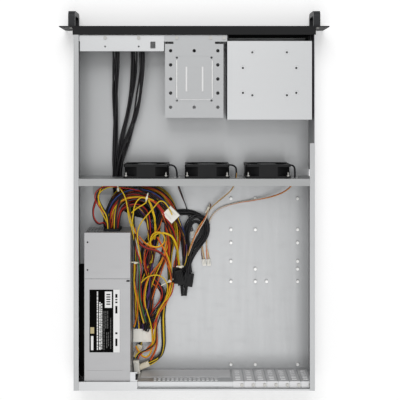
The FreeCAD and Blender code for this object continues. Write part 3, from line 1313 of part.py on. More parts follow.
def main():
    """Build and write every node."""
    save("chassis_tray", chassis_tray())
    save("front_panel", front_panel())
    save("handle_left", handle(1))
    save("handle_right", handle(-1))
    save("front_wall", front_wall())
    save("control_bracket", control_bracket())
    save("control_board", control_board())
    save("board_parts", switch_bodies() + board_headers())
    save("power_button", push_button(POWER_X, POWER_SIZE))
    save("reset_button", push_button(RESET_X, RESET_SIZE))
    save("light_pipes", light_pipes())
    save("usb_sockets", usb_sockets())
    save("centre_cage", centre_cage())
    save("big_cage", big_cage())
    half = BAY525_WIDTH / 2
    middle = BAY525_BOTTOM + BAY525_HEIGHT / 2
    bay_top = BAY525_BOTTOM + BAY525_HEIGHT
    save("bay_cover_lower", bay_cover(BIG_CAGE_X, half, BAY525_BOTTOM, middle, COVER_TAB_REACH))
    save("bay_cover_upper", bay_cover(BIG_CAGE_X, half, middle, bay_top, COVER_TAB_REACH))
    small_top = BAY35_BOTTOM + BAY35_HEIGHT
    save("bay_cover_small", bay_cover(0, BAY35_WIDTH / 2, BAY35_BOTTOM, small_top, COVER_TAB_REACH + 5))
    save("fan_wall", fan_wall())
    for number, x in enumerate(FAN_X, 1):
        holes = rectangle_points(x, FAN_Z, FAN_HOLE_PITCH, FAN_HOLE_PITCH)
        frame = fan_frame(x, FAN_Z, FAN_SIZE, FAN_FRONT, FAN_WALL_Y, FAN_BORE_RADIUS, FAN_HUB_RADIUS, holes)
        save(f"fan_frame_{number}", frame)
        rotor = fan_rotor(x, FAN_Z, FAN_FRONT, FAN_WALL_Y, FAN_BORE_RADIUS, FAN_HUB_RADIUS)
        save(f"fan_rotor_{number}", rotor)
    save("screws", panel_screws() + cage_screws() + fan_screws() + slot_screws() + psu_screws())
    save("standoffs", standoffs())
    save("rear_wall", rear_wall())
    save("corner_bracket", corner_bracket())
    save("io_plate", io_plate())
    save("slot_covers", slot_covers())
    save("psu_case", psu_case())
    save("psu_lid_front", psu_lid(PSU_FRONT, PSU_SEAM_Y, False))
    save("psu_lid_rear", psu_lid(PSU_SEAM_Y + PSU_SEAM_GAP, PSU_REAR, True))
    save("psu_label", psu_label())
    save("psu_board", psu_board())
    save("psu_grommet", grommet())
    inner_rear = PSU_REAR - PSU_SHEET
    fan_start = inner_rear - PSU_FAN_DEPTH
    fan = (PSU_FAN_BORE_RADIUS, PSU_FAN_HUB_RADIUS)
    save("psu_fan_frame", fan_frame(PSU_FAN_X, PSU_FAN_Z, PSU_FAN_SIZE, fan_start, inner_rear, *fan, []))
    save("psu_fan_rotor", fan_rotor(PSU_FAN_X, PSU_FAN_Z, fan_start, inner_rear, *fan))
    save("mains_inlet", mains_inlet())
    save("rocker_body", rocker_body())
    save("rocker", rocker())
    write_cables()


main()
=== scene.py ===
"""Looks of an open two-unit rack server case with its power supply, fans and wiring.

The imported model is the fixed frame. This script gives its parts their finishes and adds the wires, plugs,
ties, label and small fittings that lie on it. Sizes are in metres in the frame's own coordinates. Only the
cords' routes are in millimetres.
"""

import json
import logging
import math
import random
from dataclasses import dataclass, field, replace
from enum import Enum
from typing import Optional, Sequence, Union

import bmesh
import bpy
from mathutils import Matrix, Vector

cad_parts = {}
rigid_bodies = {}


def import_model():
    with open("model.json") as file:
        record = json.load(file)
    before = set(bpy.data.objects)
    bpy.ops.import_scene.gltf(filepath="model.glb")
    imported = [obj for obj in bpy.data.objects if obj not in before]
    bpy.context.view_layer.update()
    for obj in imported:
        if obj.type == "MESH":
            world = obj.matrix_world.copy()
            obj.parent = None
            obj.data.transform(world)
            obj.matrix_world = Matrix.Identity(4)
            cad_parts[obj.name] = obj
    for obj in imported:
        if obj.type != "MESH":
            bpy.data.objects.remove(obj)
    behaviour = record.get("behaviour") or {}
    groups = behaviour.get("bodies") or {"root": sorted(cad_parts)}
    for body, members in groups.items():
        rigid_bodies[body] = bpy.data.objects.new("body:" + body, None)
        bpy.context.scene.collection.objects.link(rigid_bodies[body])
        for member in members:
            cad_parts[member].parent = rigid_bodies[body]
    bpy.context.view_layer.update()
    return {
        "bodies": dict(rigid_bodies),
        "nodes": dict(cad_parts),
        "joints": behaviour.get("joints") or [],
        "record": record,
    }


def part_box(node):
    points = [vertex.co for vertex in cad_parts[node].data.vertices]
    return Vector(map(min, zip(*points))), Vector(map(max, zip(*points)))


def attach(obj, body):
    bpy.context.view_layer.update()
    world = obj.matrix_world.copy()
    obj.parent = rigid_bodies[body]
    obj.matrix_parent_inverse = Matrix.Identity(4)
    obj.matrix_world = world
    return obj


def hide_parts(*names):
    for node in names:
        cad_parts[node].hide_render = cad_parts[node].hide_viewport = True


LOG = logging.getLogger("server_case")
CASE = "case"
MILLIMETRES = 1000.0  # in a metre
UP = Vector((0, 0, 1))
Point = tuple[float, float, float]
Span = tuple[float, float]


# ---------------------------------------------------------------- finishes


def linear(red: int, green: int, blue: int) -> Point:
    """Linear colour of three display values from 0 to 255."""
    values = [value / 255 for value in (red, green, blue)]
    return tuple(v / 12.92 if v <= 0.04045 else ((v + 0.055) / 1.055) ** 2.4 for v in values)


@dataclass(frozen=True)
class Finish:
    """How a surface looks: its colour, gloss and fine detail.

    Attributes:
        color: Linear base colour.
        roughness: Middle roughness.
        metallic: 1 for bare metal.
        spread: How far roughness wanders about its middle.
        mottle: How far brightness wanders.
        mottle_scale: Patches per metre.
        stretch: Scale of the mottle along x, y and z, for rolled or brushed sheet.
        grain: Strength of the fine relief.
        grain_scale: Grains per metre.
        scuff: Share of handling marks.
        coat: Weight of a clear coat.
        transmission: 1 for clear plastic.
        specular: Level of the shine of what isn't metal.
    """

    color: Point
    roughness: float
    metallic: float = 0.0
    spread: float = 0.05
    mottle: float = 0.04
    mottle_scale: float = 60.0
    stretch: Point = (1.0, 1.0, 1.0)
    grain: float = 0.03
    grain_scale: float = 1800.0
    scuff: float = 0.0
    coat: float = 0.0
    transmission: float = 0.0
    specular: float = 0.5


ALONG_X: Point = (1.0, 14.0, 14.0)
ALONG_Y: Point = (14.0, 1.0, 14.0)


def zinc(red: int, green: int, blue: int, roughness: float = 0.42, metallic: float = 0.65,
         rolled: Point = ALONG_X) -> Finish:
    """Finish of zinc-coated sheet, with faint streaks along the way it was rolled."""
    return Finish(linear(red, green, blue), roughness, metallic, spread=0.02, mottle=0.006, mottle_scale=9,
                  stretch=rolled, grain=0.04, grain_scale=2600, scuff=0.03)


def small_metal(red: int, green: int, blue: int, roughness: float, metallic: float) -> Finish:
    """Finish of plated screws and studs, and of narrow folds whose light colour is a painted highlight."""
    return Finish(linear(red, green, blue), roughness, metallic, spread=0.06, mottle_scale=300)


def pale_plastic(red: int, green: int, blue: int, mottle: float) -> Finish:
    """Finish of white and cream plug housings."""
    return Finish(linear(red, green, blue), 0.5, mottle=mottle, mottle_scale=90, grain=0.06, grain_scale=2200)


def printed(red: int, green: int, blue: int, mottle: float, specular: float) -> Finish:
    """Finish of ink on a paper label."""
    return Finish(linear(red, green, blue), 0.6, spread=0.03, mottle=mottle, grain=0.02, specular=specular)


def insulation(red: int, green: int, blue: int) -> Finish:
    """Finish of a wire's coloured plastic skin."""
    return Finish(linear(red, green, blue), 0.42, spread=0.08, mottle=0.05, mottle_scale=160, grain=0.04,
                  specular=0.3)


class Coat(Enum):
    """Every finish on the case."""

    ZINC = zinc(176, 177, 178)
    ZINC_TRAY = zinc(158, 159, 160, rolled=ALONG_Y)
    ZINC_DULL = zinc(142, 143, 143, 0.45)
    ZINC_CAGE = zinc(154, 155, 156, rolled=ALONG_Y)
    # Pale zinc of the I/O plate, slot covers and port blanks, lifted further as painted light against the shade
    # the rear plate sits in
    ZINC_REAR = zinc(206, 206, 207, 0.5, 0.4)
    ZINC_SUPPLY = replace(zinc(152, 152, 153, 0.45, rolled=(1.0, 10.0, 10.0)), mottle=0.005, mottle_scale=12,
                          scuff=0.02)
    # Near-white zinc of the standoffs, and a painted highlight where it colours the glint along the drive tray's
    # folds
    BRIGHT_ZINC = small_metal(232, 232, 230, 0.5, 0.4)
    # Painted highlight: lighter zinc for the light bands along the drive tray's bends
    ZINC_FOLD = small_metal(196, 196, 196, 0.5, 0.5)
    SCREW = small_metal(150, 149, 146, 0.4, 0.9)
    CONTACT = Finish(linear(206, 178, 112), 0.28, 1.0, mottle_scale=300, grain=0.05)
    SOCKET = Finish(linear(188, 188, 190), 0.3, 0.95, spread=0.06, mottle_scale=120, scuff=0.1)
    BLACK_PAINT = Finish(linear(26, 26, 27), 0.5, spread=0.04, grain=0.3, grain_scale=1500, scuff=0.03,
                         specular=0.12)
    HANDLE_PAINT = Finish(linear(38, 39, 41), 0.42, mottle_scale=50, grain=0.15, scuff=0.05, specular=0.2)
    BLACK_PLASTIC = Finish(linear(20, 20, 21), 0.48, mottle=0.05, mottle_scale=90, grain=0.16, grain_scale=1600,
                           specular=0.15)
    ROTOR = Finish(linear(14, 14, 15), 0.42, mottle=0.05, mottle_scale=90, grain=0.05, specular=0.2)
    RUBBER = Finish(linear(24, 25, 28), 0.62, mottle=0.05, mottle_scale=80, grain=0.1, specular=0.2)
    # Painted shade: a near-black sheet laid in the deep gap beside the supply
    LINER = Finish(linear(30, 30, 31), 0.8, spread=0.03, mottle=0.03, mottle_scale=120, specular=0.1)
    BOARD = Finish(linear(22, 74, 44), 0.36, mottle=0.1, mottle_scale=420, stretch=(1.0, 1.0, 4.0), grain=0.1,
                   grain_scale=900, coat=0.3)
    BOARD_PARTS = Finish(linear(34, 34, 36), 0.45, spread=0.06, mottle=0.08, mottle_scale=120, grain=0.1)
    CLEAR = Finish(linear(232, 236, 238), 0.12, spread=0.04, mottle=0.02, grain=0.05, transmission=0.9)
    NYLON = pale_plastic(236, 233, 224, 0.03)
    CREAM = pale_plastic(228, 220, 198, 0.04)
    TIE = Finish(linear(228, 224, 206), 0.48, spread=0.04, mottle=0.03, mottle_scale=120)
    LABEL = printed(5, 5, 5, 0.03, 0.02)
    LABEL_PALE = printed(238, 238, 237, 0.01, 0.1)
    LABEL_GREY = printed(104, 104, 103, 0.02, 0.05)
    LABEL_GOLD = Finish(linear(176, 164, 126), 0.5, 0.2, spread=0.03, mottle=0.02, grain=0.02, specular=0.3)
    YELLOW = insulation(226, 190, 28)
    ORANGE = insulation(214, 104, 34)
    RED = insulation(176, 40, 30)
    BLACK = insulation(17, 16, 19)
    BROWN = insulation(88, 34, 26)
    PURPLE = insulation(84, 52, 110)
    GREEN = insulation(52, 116, 62)
    GREY = insulation(128, 126, 128)
    PALE = insulation(214, 166, 92)
    WHITE = insulation(216, 208, 190)
    BLUE = insulation(40, 58, 120)


def math_node(tree: bpy.types.NodeTree, operation: str,
              *values: Union[bpy.types.NodeSocket, float]) -> bpy.types.NodeSocket:
    """A math node on sockets or numbers.

    Args:
        tree: The tree that gets the node.
        operation: The node's operation.
        values: A socket or a number for each input.

    Returns:
        The node's output.
    """
    node = tree.nodes.new("ShaderNodeMath")
    node.operation = operation
    for socket, value in zip(node.inputs, values):
        if isinstance(value, bpy.types.NodeSocket):
            tree.links.new(value, socket)
        else:
            socket.default_value = value
    return node.outputs[0]


@dataclass
class Effects:
    """Shader groups that several finishes share."""

    mottle_detail: float = 4
    mottle_gain: float = 4.0
    relief_detail: float = 2
    relief_depth: float = 0.0002
    mark_detail: float = 7
    mark_scale: float = 26.0
    mark_shape: Point = (1.0, 3.5, 2.0)
    mark_gain: float = 5.0
    mark_level: float = 2.7  # taken off, so that only the noise's peaks leave a mark
    mark_blend: float = 0.2
    groups: dict[str, bpy.types.NodeTree] = field(default_factory=dict)

    def build(self) -> None:
        """Makes the groups for mottle, fine relief and handling marks."""
        self.groups = {"mottle": self._mottle(), "relief": self._relief(), "marks": self._marks()}

    @staticmethod
    def _group(name: str, takes: dict[str, str],
               gives: dict[str, str]) -> tuple[bpy.types.NodeTree, bpy.types.Node, bpy.types.Node]:
        """An empty group with named sockets.

        Args:
            name: The group's name.
            takes: Kind of each input, by its name.
            gives: Kind of each output, by its name.

        Returns:
            The group, its input node and its output node.
        """
        tree = bpy.data.node_groups.new(name, "ShaderNodeTree")
        for way, sockets in (("INPUT", takes), ("OUTPUT", gives)):
            for label, kind in sockets.items():
                tree.interface.new_socket(name=label, in_out=way, socket_type=f"NodeSocket{kind}")
        return tree, tree.nodes.new("NodeGroupInput"), tree.nodes.new("NodeGroupOutput")

    @staticmethod
    def _noise(tree: bpy.types.NodeTree, scale: bpy.types.NodeSocket, detail: float,
               stretch: Optional[bpy.types.NodeSocket] = None) -> bpy.types.NodeSocket:
        """Noise on object coordinates.

        Args:
            tree: The tree that gets the nodes.
            scale: Socket with the noise's scale.
            detail: Octaves of the noise.
            stretch: Socket with the scale along each axis.

        Returns:
            The noise's value.
        """
        source = tree.nodes.new("ShaderNodeTexCoord").outputs["Object"]
        if stretch is not None:
            mapping = tree.nodes.new("ShaderNodeMapping")
            tree.links.new(source, mapping.inputs["Vector"])
            tree.links.new(stretch, mapping.inputs["Scale"])
            source = mapping.outputs["Vector"]
        noise = tree.nodes.new("ShaderNodeTexNoise")
        noise.inputs["Detail"].default_value = detail
        tree.links.new(source, noise.inputs["Vector"])
        tree.links.new(scale, noise.inputs["Scale"])
        return noise.outputs["Fac"]

    def _mottle(self) -> bpy.types.NodeTree:
        """Slow changes of brightness and gloss.

        Returns:
            The group.
        """
        takes = {"Color": "Color", "Amount": "Float", "Scale": "Float", "Stretch": "Vector",
                 "Roughness": "Float", "Spread": "Float"}
        tree, start, end = self._group("mottle", takes, {"Color": "Color", "Roughness": "Float"})
        given = start.outputs
        wave = self._noise(tree, given["Scale"], self.mottle_detail, given["Stretch"])
        swing = math_node(tree, "MULTIPLY_ADD", wave, self.mottle_gain, -self.mottle_gain / 2)
        tint = tree.nodes.new("ShaderNodeVectorMath")
        tint.operation = "SCALE"
        tree.links.new(given["Color"], tint.inputs[0])
        tree.links.new(math_node(tree, "MULTIPLY_ADD", swing, given["Amount"], 1.0), tint.inputs["Scale"])
        tree.links.new(tint.outputs[0], end.inputs["Color"])
        rough = math_node(tree, "MULTIPLY_ADD", swing, given["Spread"], given["Roughness"])
        tree.links.new(rough, end.inputs["Roughness"])
        return tree

    def _relief(self) -> bpy.types.NodeTree:
        """Fine grain that tips the normal.

        Returns:
            The group.
        """
        takes = {"Scale": "Float", "Strength": "Float"}
        tree, start, end = self._group("relief", takes, {"Normal": "Vector"})
        bump = tree.nodes.new("ShaderNodeBump")
        bump.inputs["Distance"].default_value = self.relief_depth
        grain = self._noise(tree, start.outputs["Scale"], self.relief_detail)
        tree.links.new(grain, bump.inputs["Height"])
        tree.links.new(start.outputs["Strength"], bump.inputs["Strength"])
        tree.links.new(bump.outputs["Normal"], end.inputs["Normal"])
        return tree

    def _marks(self) -> bpy.types.NodeTree:
        """Faint handling marks: a mask of thin scattered streaks that lifts the roughness.

        Returns:
            The group.
        """
        takes = {"Roughness": "Float", "Amount": "Float"}
        tree, start, end = self._group("marks", takes, {"Roughness": "Float"})
        scale = tree.nodes.new("ShaderNodeValue")
        scale.outputs[0].default_value = self.mark_scale
        shape = tree.nodes.new("ShaderNodeCombineXYZ")
        for socket, value in zip(shape.inputs, self.mark_shape):
            socket.default_value = value
        wave = self._noise(tree, scale.outputs[0], self.mark_detail, shape.outputs[0])
        peaks = math_node(tree, "MULTIPLY_ADD", wave, self.mark_gain, -self.mark_level)
        mask = math_node(tree, "SMOOTH_MIN", peaks, 1.0, self.mark_blend)
        mask = math_node(tree, "MAXIMUM", mask, 0.0)
        lift = math_node(tree, "MULTIPLY", mask, start.outputs["Amount"])
        tree.links.new(math_node(tree, "ADD", lift, start.outputs["Roughness"]), end.inputs["Roughness"])
        return tree


@dataclass
class Palette:
    """Makes each finish's material once."""

    effects: Effects
    coat_roughness: float = 0.3
    made: dict[Coat, bpy.types.Material] = field(default_factory=dict)

    def get(self, coat: Coat) -> bpy.types.Material:
        """The material of a finish, made when it is first asked for.

        Args:
            coat: The finish.

        Returns:
            The material.
        """
        if coat not in self.made:
            self.made[coat] = self._make(coat)
        return self.made[coat]

    def _make(self, coat: Coat) -> bpy.types.Material:
        """Builds the material of a finish.

        Args:
            coat: The finish.

        Returns:
            The material.
        """
        look = coat.value
        material = bpy.data.materials.new(coat.name.lower())
        material.use_nodes = True
        material.diffuse_color = (*look.color, 1)
        tree = material.node_tree
        shader = tree.nodes["Principled BSDF"]
        plain = {"Metallic": look.metallic, "Coat Weight": look.coat, "Coat Roughness": self.coat_roughness,
                 "Specular IOR Level": look.specular, "Transmission Weight": look.transmission}
        for label, value in plain.items():
            shader.inputs[label].default_value = value
        mottle = self._place(tree, "mottle", {
            "Color": (*look.color, 1), "Amount": look.mottle, "Scale": look.mottle_scale,
            "Stretch": look.stretch, "Roughness": look.roughness, "Spread": look.spread})
        tree.links.new(mottle.outputs["Color"], shader.inputs["Base Color"])
        gloss = mottle.outputs["Roughness"]
        if look.scuff:
            marks = self._place(tree, "marks", {"Amount": look.scuff})
            tree.links.new(gloss, marks.inputs["Roughness"])
            gloss = marks.outputs["Roughness"]
        tree.links.new(gloss, shader.inputs["Roughness"])
        relief = self._place(tree, "relief", {"Scale": look.grain_scale, "Strength": look.grain})
        tree.links.new(relief.outputs["Normal"], shader.inputs["Normal"])
        return material

    def _place(self, tree: bpy.types.NodeTree, name: str,
               values: dict[str, Union[float, Sequence[float]]]) -> bpy.types.Node:
        """Puts a shared group in a material.

        Args:
            tree: The material's nodes.
            name: The group's name.
            values: Values of its inputs.

        Returns:
            The group's node.
        """
        node = tree.nodes.new("ShaderNodeGroup")
        node.node_tree = self.effects.groups[name]
        for label, value in values.items():
            node.inputs[label].default_value = value
        return node


# ---------------------------------------------------------------- mesh tools


def add_block(bm: bmesh.types.BMesh, low: Sequence[float], high: Sequence[float], slot: int = 0,
              bevel: float = 0.0) -> list[bmesh.types.BMFace]:
    """Adds a block, with softened edges where it has a bevel.

    Args:
        bm: The mesh that gets it.
        low: Its lowest corner.
        high: Its highest corner.
        slot: Index of its material.
        bevel: Width of its edges' bevel.

    Returns:
        Its faces.
    """
    size = [b - a for a, b in zip(low, high)]
    middle = [(a + b) / 2 for a, b in zip(low, high)]
    matrix = Matrix.Translation(middle) @ Matrix.Diagonal((*size, 1))
    made = bmesh.ops.create_cube(bm, size=1, matrix=matrix)["verts"]
    faces = list({f for v in made for f in v.link_faces})
    if bevel:
        edges = list({e for v in made for e in v.link_edges})
        extra = bmesh.ops.bevel(bm, geom=edges, offset=bevel, segments=2, profile=0.5, affect="EDGES",
                                material=-1)
        faces = list({f for f in faces if f.is_valid} | set(extra["faces"]))
    for face in faces:
        face.material_index = slot
    return faces


def add_rod(bm: bmesh.types.BMesh, start: Sequence[float], end: Sequence[float], radius: float, tip: float,
            sides: int, slot: int = 0) -> None:
    """Adds a round rod that may narrow towards its second end.

    Args:
        bm: The mesh that gets it.
        start: Middle of its first end.
        end: Middle of its second end.
        radius: Radius at the first end.
        tip: Radius at the second end.
        sides: Number of its sides.
        slot: Index of its material.
    """
    axis = Vector(end) - Vector(start)
    turn = UP.rotation_difference(axis).to_matrix().to_4x4()
    matrix = Matrix.Translation((Vector(start) + Vector(end)) / 2) @ turn
    made = bmesh.ops.create_cone(bm, cap_ends=True, segments=sides, radius1=radius, radius2=tip,
                                 depth=axis.length, matrix=matrix)["verts"]
    for face in {f for v in made for f in v.link_faces}:
        face.material_index = slot
        face.smooth = len(face.verts) == 4


def sink_cells(bm: bmesh.types.BMesh, faces: list[bmesh.types.BMFace], wall: float, depth: float) -> None:
    """Turns faces into open cells.

    Args:
        bm: The mesh that holds them.
        faces: The faces.
        wall: Width of the wall left round each.
        depth: Depth of each cell.
    """
    bmesh.ops.inset_individual(bm, faces=faces, thickness=wall, depth=0)
    inward = [f.normal.copy() * -depth for f in faces]
    moved = bmesh.ops.extrude_discrete_faces(bm, faces=faces)["faces"]
    for face, step in zip(moved, inward):
        bmesh.ops.translate(bm, verts=face.verts[:], vec=step)


def place_new(bm: bmesh.types.BMesh, old: set[bmesh.types.BMVert], matrix: Matrix) -> None:
    """Moves what was added to a mesh since its vertices were noted."""
    bmesh.ops.transform(bm, matrix=matrix, verts=[v for v in bm.verts if v not in old])


def show(name: str, data: bpy.types.ID) -> bpy.types.Object:
    """Puts data in the scene as an object of its own.

    Args:
        name: The object's name.
        data: Its data.

    Returns:
        The object.
    """
    item = bpy.data.objects.new(name, data)
    bpy.context.scene.collection.objects.link(item)
    return item


def mesh_of_curve(curve: bpy.types.Curve) -> bpy.types.Mesh:
    """Turns a curve into a mesh.

    Args:
        curve: The curve, which is removed.

    Returns:
        The mesh.
    """
    holder = show(f"{curve.name}_holder", curve)
    mesh = bpy.data.meshes.new_from_object(holder)
    bpy.data.objects.remove(holder)
    bpy.data.curves.remove(curve)
    return mesh


@dataclass
class Workshop:
    """Turns meshes into named pieces that ride on the frame."""

    palette: Palette
    frame: dict
    sharp: float = 40.0  # degrees from which an edge gets its piece's bevel
    pieces: dict[str, bpy.types.Object] = field(default_factory=dict)

    def add(self, name: str, mesh: Union[bmesh.types.BMesh, bpy.types.Mesh], coats: Sequence[Coat], slot: str,
            bevel: float = 0.0, instead_of: str = "") -> None:
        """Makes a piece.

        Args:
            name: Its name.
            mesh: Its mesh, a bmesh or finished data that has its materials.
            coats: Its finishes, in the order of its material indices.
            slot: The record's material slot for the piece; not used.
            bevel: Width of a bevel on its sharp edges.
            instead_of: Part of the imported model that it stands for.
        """
        if isinstance(mesh, bmesh.types.BMesh):
            data = bpy.data.meshes.new(name)
            mesh.to_mesh(data)
            mesh.free()
            for coat in coats:
                data.materials.append(self.palette.get(coat))
        else:
            data = mesh
            data.name = name
        piece = show(name, data)
        if bevel:
            edge = piece.modifiers.new("soft_edges", "BEVEL")
            edge.width = bevel
            edge.segments = 2
            edge.limit_method = "ANGLE"
            edge.angle_limit = math.radians(self.sharp)
        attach(piece, CASE)
        if instead_of:
            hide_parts(instead_of)
        self.pieces[name] = piece
        LOG.info("%s: %d faces", name, len(data.polygons))

    def dress(self, parts: dict[Coat, Sequence[str]]) -> None:
        """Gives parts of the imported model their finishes.

        Args:
            parts: The parts' names under their finish.
        """
        for coat, names in parts.items():
            for name in names:
                for place in self.frame["nodes"][name].material_slots:
                    place.material = self.palette.get(coat)


# ---------------------------------------------------------------- wiring


def read_spline(points: Sequence[Point], order: int = 3, steps: int = 16) -> list[Vector]:
    """Points along a NURBS curve that has the given control points.

    Args:
        points: The control points.
        order: Order of the curve.
        steps: Steps from one control point to the next.

    Returns:
        The curve's own points, from its first end to its second.
    """
    curve = bpy.data.curves.new("route", "CURVE")
    curve.dimensions = "3D"
    curve.resolution_u = steps
    spline = curve.splines.new("NURBS")
    spline.points.add(len(points) - 1)
    for control, point in zip(spline.points, points):
        control.co = (*point, 1)
    spline.order_u = order
    spline.use_endpoint_u = True
    mesh = mesh_of_curve(curve)
    line = [v.co.copy() for v in mesh.vertices]
    bpy.data.meshes.remove(mesh)
    return line


def even_steps(line: Sequence[Vector], step: float) -> list[Vector]:
    """The same line with its points spaced evenly.

    Args:
        line: The line's points.
        step: Rough distance from point to point.

    Returns:
        The evenly spaced points.
    """
    reach = [0.0]
    for a, b in zip(line, line[1:]):
        reach.append(reach[-1] + (b - a).length)
    count = max(2, round(reach[-1] / step))
    made, k = [], 0
    for i in range(count + 1):
        target = reach[-1] * i / count
        while k < len(reach) - 2 and reach[k + 1] < target:
            k += 1
        share = (target - reach[k]) / max(reach[k + 1] - reach[k], 1e-9)
        made.append(line[k].lerp(line[k + 1], share))
    return made


def ease(value: float) -> float:
    """Smooth step from 0 to 1."""
    t = min(max(value, 0.0), 1.0)
    return t * t * (3 - 2 * t)


class Lay(Enum):
    """Where a cord runs, which says what its wires keep clear of."""

    BOARD_SPACE = "board space"
    THROUGH_WALL = "through the fan wall"
    FAN_LEAD = "fan lead"


@dataclass(frozen=True)
class Cord:
    """A free cord made of wires.

    Attributes:
        route: Control points of its middle line, in millimetres.
        diameter: Its diameter.
        length: Its real length; not used.
        wires: Finish of each wire.
        wire: Radius of one wire.
        plug: The piece on its far end, if it ends in one; not used.
        columns: Wires side by side where they enter the plug.
        pitch: Distance between those wires.
        loose: How far the wires part between the ends.
        lay: Where it runs.
        sleeve: Length of the black sleeve over its start.
    """

    route: tuple[Point, ...]
    diameter: float
    length: float
    wires: tuple[Coat, ...]
    wire: float = 0.0011
    plug: str = ""
    columns: int = 0
    pitch: float = 0.0
    loose: float = 0.35
    lay: Lay = Lay.BOARD_SPACE
    sleeve: float = 0.0


@dataclass
class Harness:
    """The cords, each a bundle of separate wires laid along one smooth line."""

    shop: Workshop
    step: float = 0.0035
    end_run: float = 0.035  # where the wires line up for their plug
    floor: float = 0.0012
    clearance: float = 0.0003
    wall_metal: float = 0.0012
    sill: float = 0.004  # height of the sill of the fan wall's window
    sill_reach: float = 0.006
    supply_lead: float = 0.001
    reach: float = 0.65  # most distance of a wire's outside from the middle line, in diameters of the cord
    reach_spare: float = 0.0012
    next_turn: float = 2.39996  # radians from one wire's place to the next
    steep: float = 0.05  # below this a run counts as upright
    sway: float = 0.42  # how far the wires wander, in radii of the bundle
    draws: int = 4  # for each wire, of which the first two are used
    twists: Span = (0.5, 1.1)  # turns of the bundle along its length
    paces: Span = (1.0, 3.4)  # wanderings of a wire along its length
    opening: float = 0.6  # power that says how soon the wires part
    sleeve_fit: float = 0.52  # radius of a sleeve in diameters of the cord
    seed: int = 11

    def __post_init__(self) -> None:
        """Reads where the supply and the fan wall stand."""
        self.supply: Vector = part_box("psu_case")[0]
        self.wall_back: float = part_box("fan_wall")[0].y + self.wall_metal

    def build(self, packed: dict[str, Cord], loose: dict[str, Cord]) -> None:
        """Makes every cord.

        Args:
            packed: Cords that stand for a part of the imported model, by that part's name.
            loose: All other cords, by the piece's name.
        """
        for node, cord in packed.items():
            self._cord(f"{node}_wires", cord, node)
        for name, cord in loose.items():
            self._cord(name, cord, "")

    def _keep_clear(self, point: Vector, cord: Cord) -> Vector:
        """Moves a wire's point out of the floor, the supply's side and the fan wall.

        Args:
            point: The point, which is changed.
            cord: The wire's cord.

        Returns:
            The same point.
        """
        room = cord.wire + self.clearance
        at_sill = cord.lay is Lay.THROUGH_WALL and abs(point.y - self.wall_back) < self.sill_reach
        point.z = max(point.z, (self.sill if at_sill else self.floor) + room)
        if point.y > self.supply.y - self.supply_lead:
            point.x = min(point.x, self.supply.x - room)
        if cord.lay is Lay.BOARD_SPACE:
            point.y = max(point.y, self.wall_back + room)
        return point

    def _strands(self, line: list[Vector], cord: Cord, dice: random.Random) -> list[list[Vector]]:
        """Lines of a cord's wires.

        Args:
            line: The cord's middle line.
            cord: The cord.
            dice: Seeded source of the wires' wander.

        Returns:
            The points of each wire.
        """
        count, total = len(cord.wires), len(line) - 1
        core = max(cord.diameter / 2 - cord.wire, 0.0) if count > 1 else 0.0
        most = self.reach * cord.diameter + self.reach_spare - cord.wire
        last = self.end_run / self.step
        order = list(range(count))
        dice.shuffle(order)
        twist = dice.uniform(*self.twists) * dice.choice((-1, 1))
        drift = [[dice.uniform(0, math.tau) for _ in range(self.draws)] for _ in range(count)]
        pace = [[dice.uniform(*self.paces) for _ in range(self.draws)] for _ in range(count)]
        rows = math.ceil(count / cord.columns) if cord.columns else 0
        strands: list[list[Vector]] = [[] for _ in range(count)]
        for i, middle in enumerate(line):
            along = (line[min(i + 1, total)] - line[max(i - 1, 0)]).normalized()
            side = along.cross(UP)
            side = side.normalized() if side.length > self.steep else Vector((1, 0, 0))
            up = side.cross(along)
            turned = math.tau * i / total
            open_out = math.sin(turned / 2) ** self.opening if 0 < i < total else 0.0
            for k in range(count):
                radius = core * math.sqrt((order[k] + 0.5) / count) * (1 + cord.loose * open_out)
                angle = order[k] * self.next_turn + twist * turned
                sway = core * self.sway * open_out
                a = radius * math.cos(angle) + sway * math.sin(drift[k][0] + pace[k][0] * turned)
                b = radius * math.sin(angle) + sway * math.sin(drift[k][1] + pace[k][1] * turned)
                shrink = min(1.0, most / max(math.hypot(a, b), 1e-9))
                a, b = a * shrink, b * shrink
                if cord.columns:
                    blend = ease((i - (total - last)) / last)
                    a += ((k % cord.columns - (cord.columns - 1) / 2) * cord.pitch - a) * blend
                    b += ((k // cord.columns - (rows - 1) / 2) * cord.pitch - b) * blend
                strands[k].append(self._keep_clear(middle + side * a + up * b, cord))
        return strands

    @staticmethod
    def _thread(curve: bpy.types.Curve, points: list[Vector], slot: int, width: float = 1.0) -> None:
        """Adds one wire to a curve.

        Args:
            curve: The curve of the cord's wires.
            points: The wire's line.
            slot: Index of its material.
            width: Its size as a multiple of the curve's own.
        """
        spline = curve.splines.new("POLY")
        spline.points.add(len(points) - 1)
        spline.material_index = slot
        spline.use_smooth = True
        for control, point in zip(spline.points, points):
            control.co = (*point, 1)
            control.radius = width

    def _cord(self, name: str, cord: Cord, node: str) -> None:
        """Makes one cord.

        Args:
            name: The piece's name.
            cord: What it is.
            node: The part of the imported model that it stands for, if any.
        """
        route = [tuple(value / MILLIMETRES for value in point) for point in cord.route]
        line = even_steps(read_spline(route), self.step)
        dice = random.Random(f"{self.seed}{name}")
        coats = list(dict.fromkeys(cord.wires)) + ([Coat.RUBBER] if cord.sleeve else [])
        curve = bpy.data.curves.new(name, "CURVE")
        curve.dimensions = "3D"
        curve.bevel_depth = cord.wire
        curve.bevel_resolution = 1
        curve.use_fill_caps = True
        # The materials come first, because a wire's index can't pass the last of them.
        for coat in coats:
            curve.materials.append(self.shop.palette.get(coat))
        for coat, points in zip(cord.wires, self._strands(line, cord, dice)):
            self._thread(curve, points, coats.index(coat))
        if cord.sleeve:
            self._thread(curve, line[:round(cord.sleeve / self.step)], len(coats) - 1,
                         self.sleeve_fit * cord.diameter / cord.wire)
        slot = "cable_black" if set(cord.wires) == {Coat.BLACK} else "cable_mixed"
        self.shop.add(name, mesh_of_curve(curve), coats, slot, instead_of=node)


# ---------------------------------------------------------------- plugs, ties and fittings


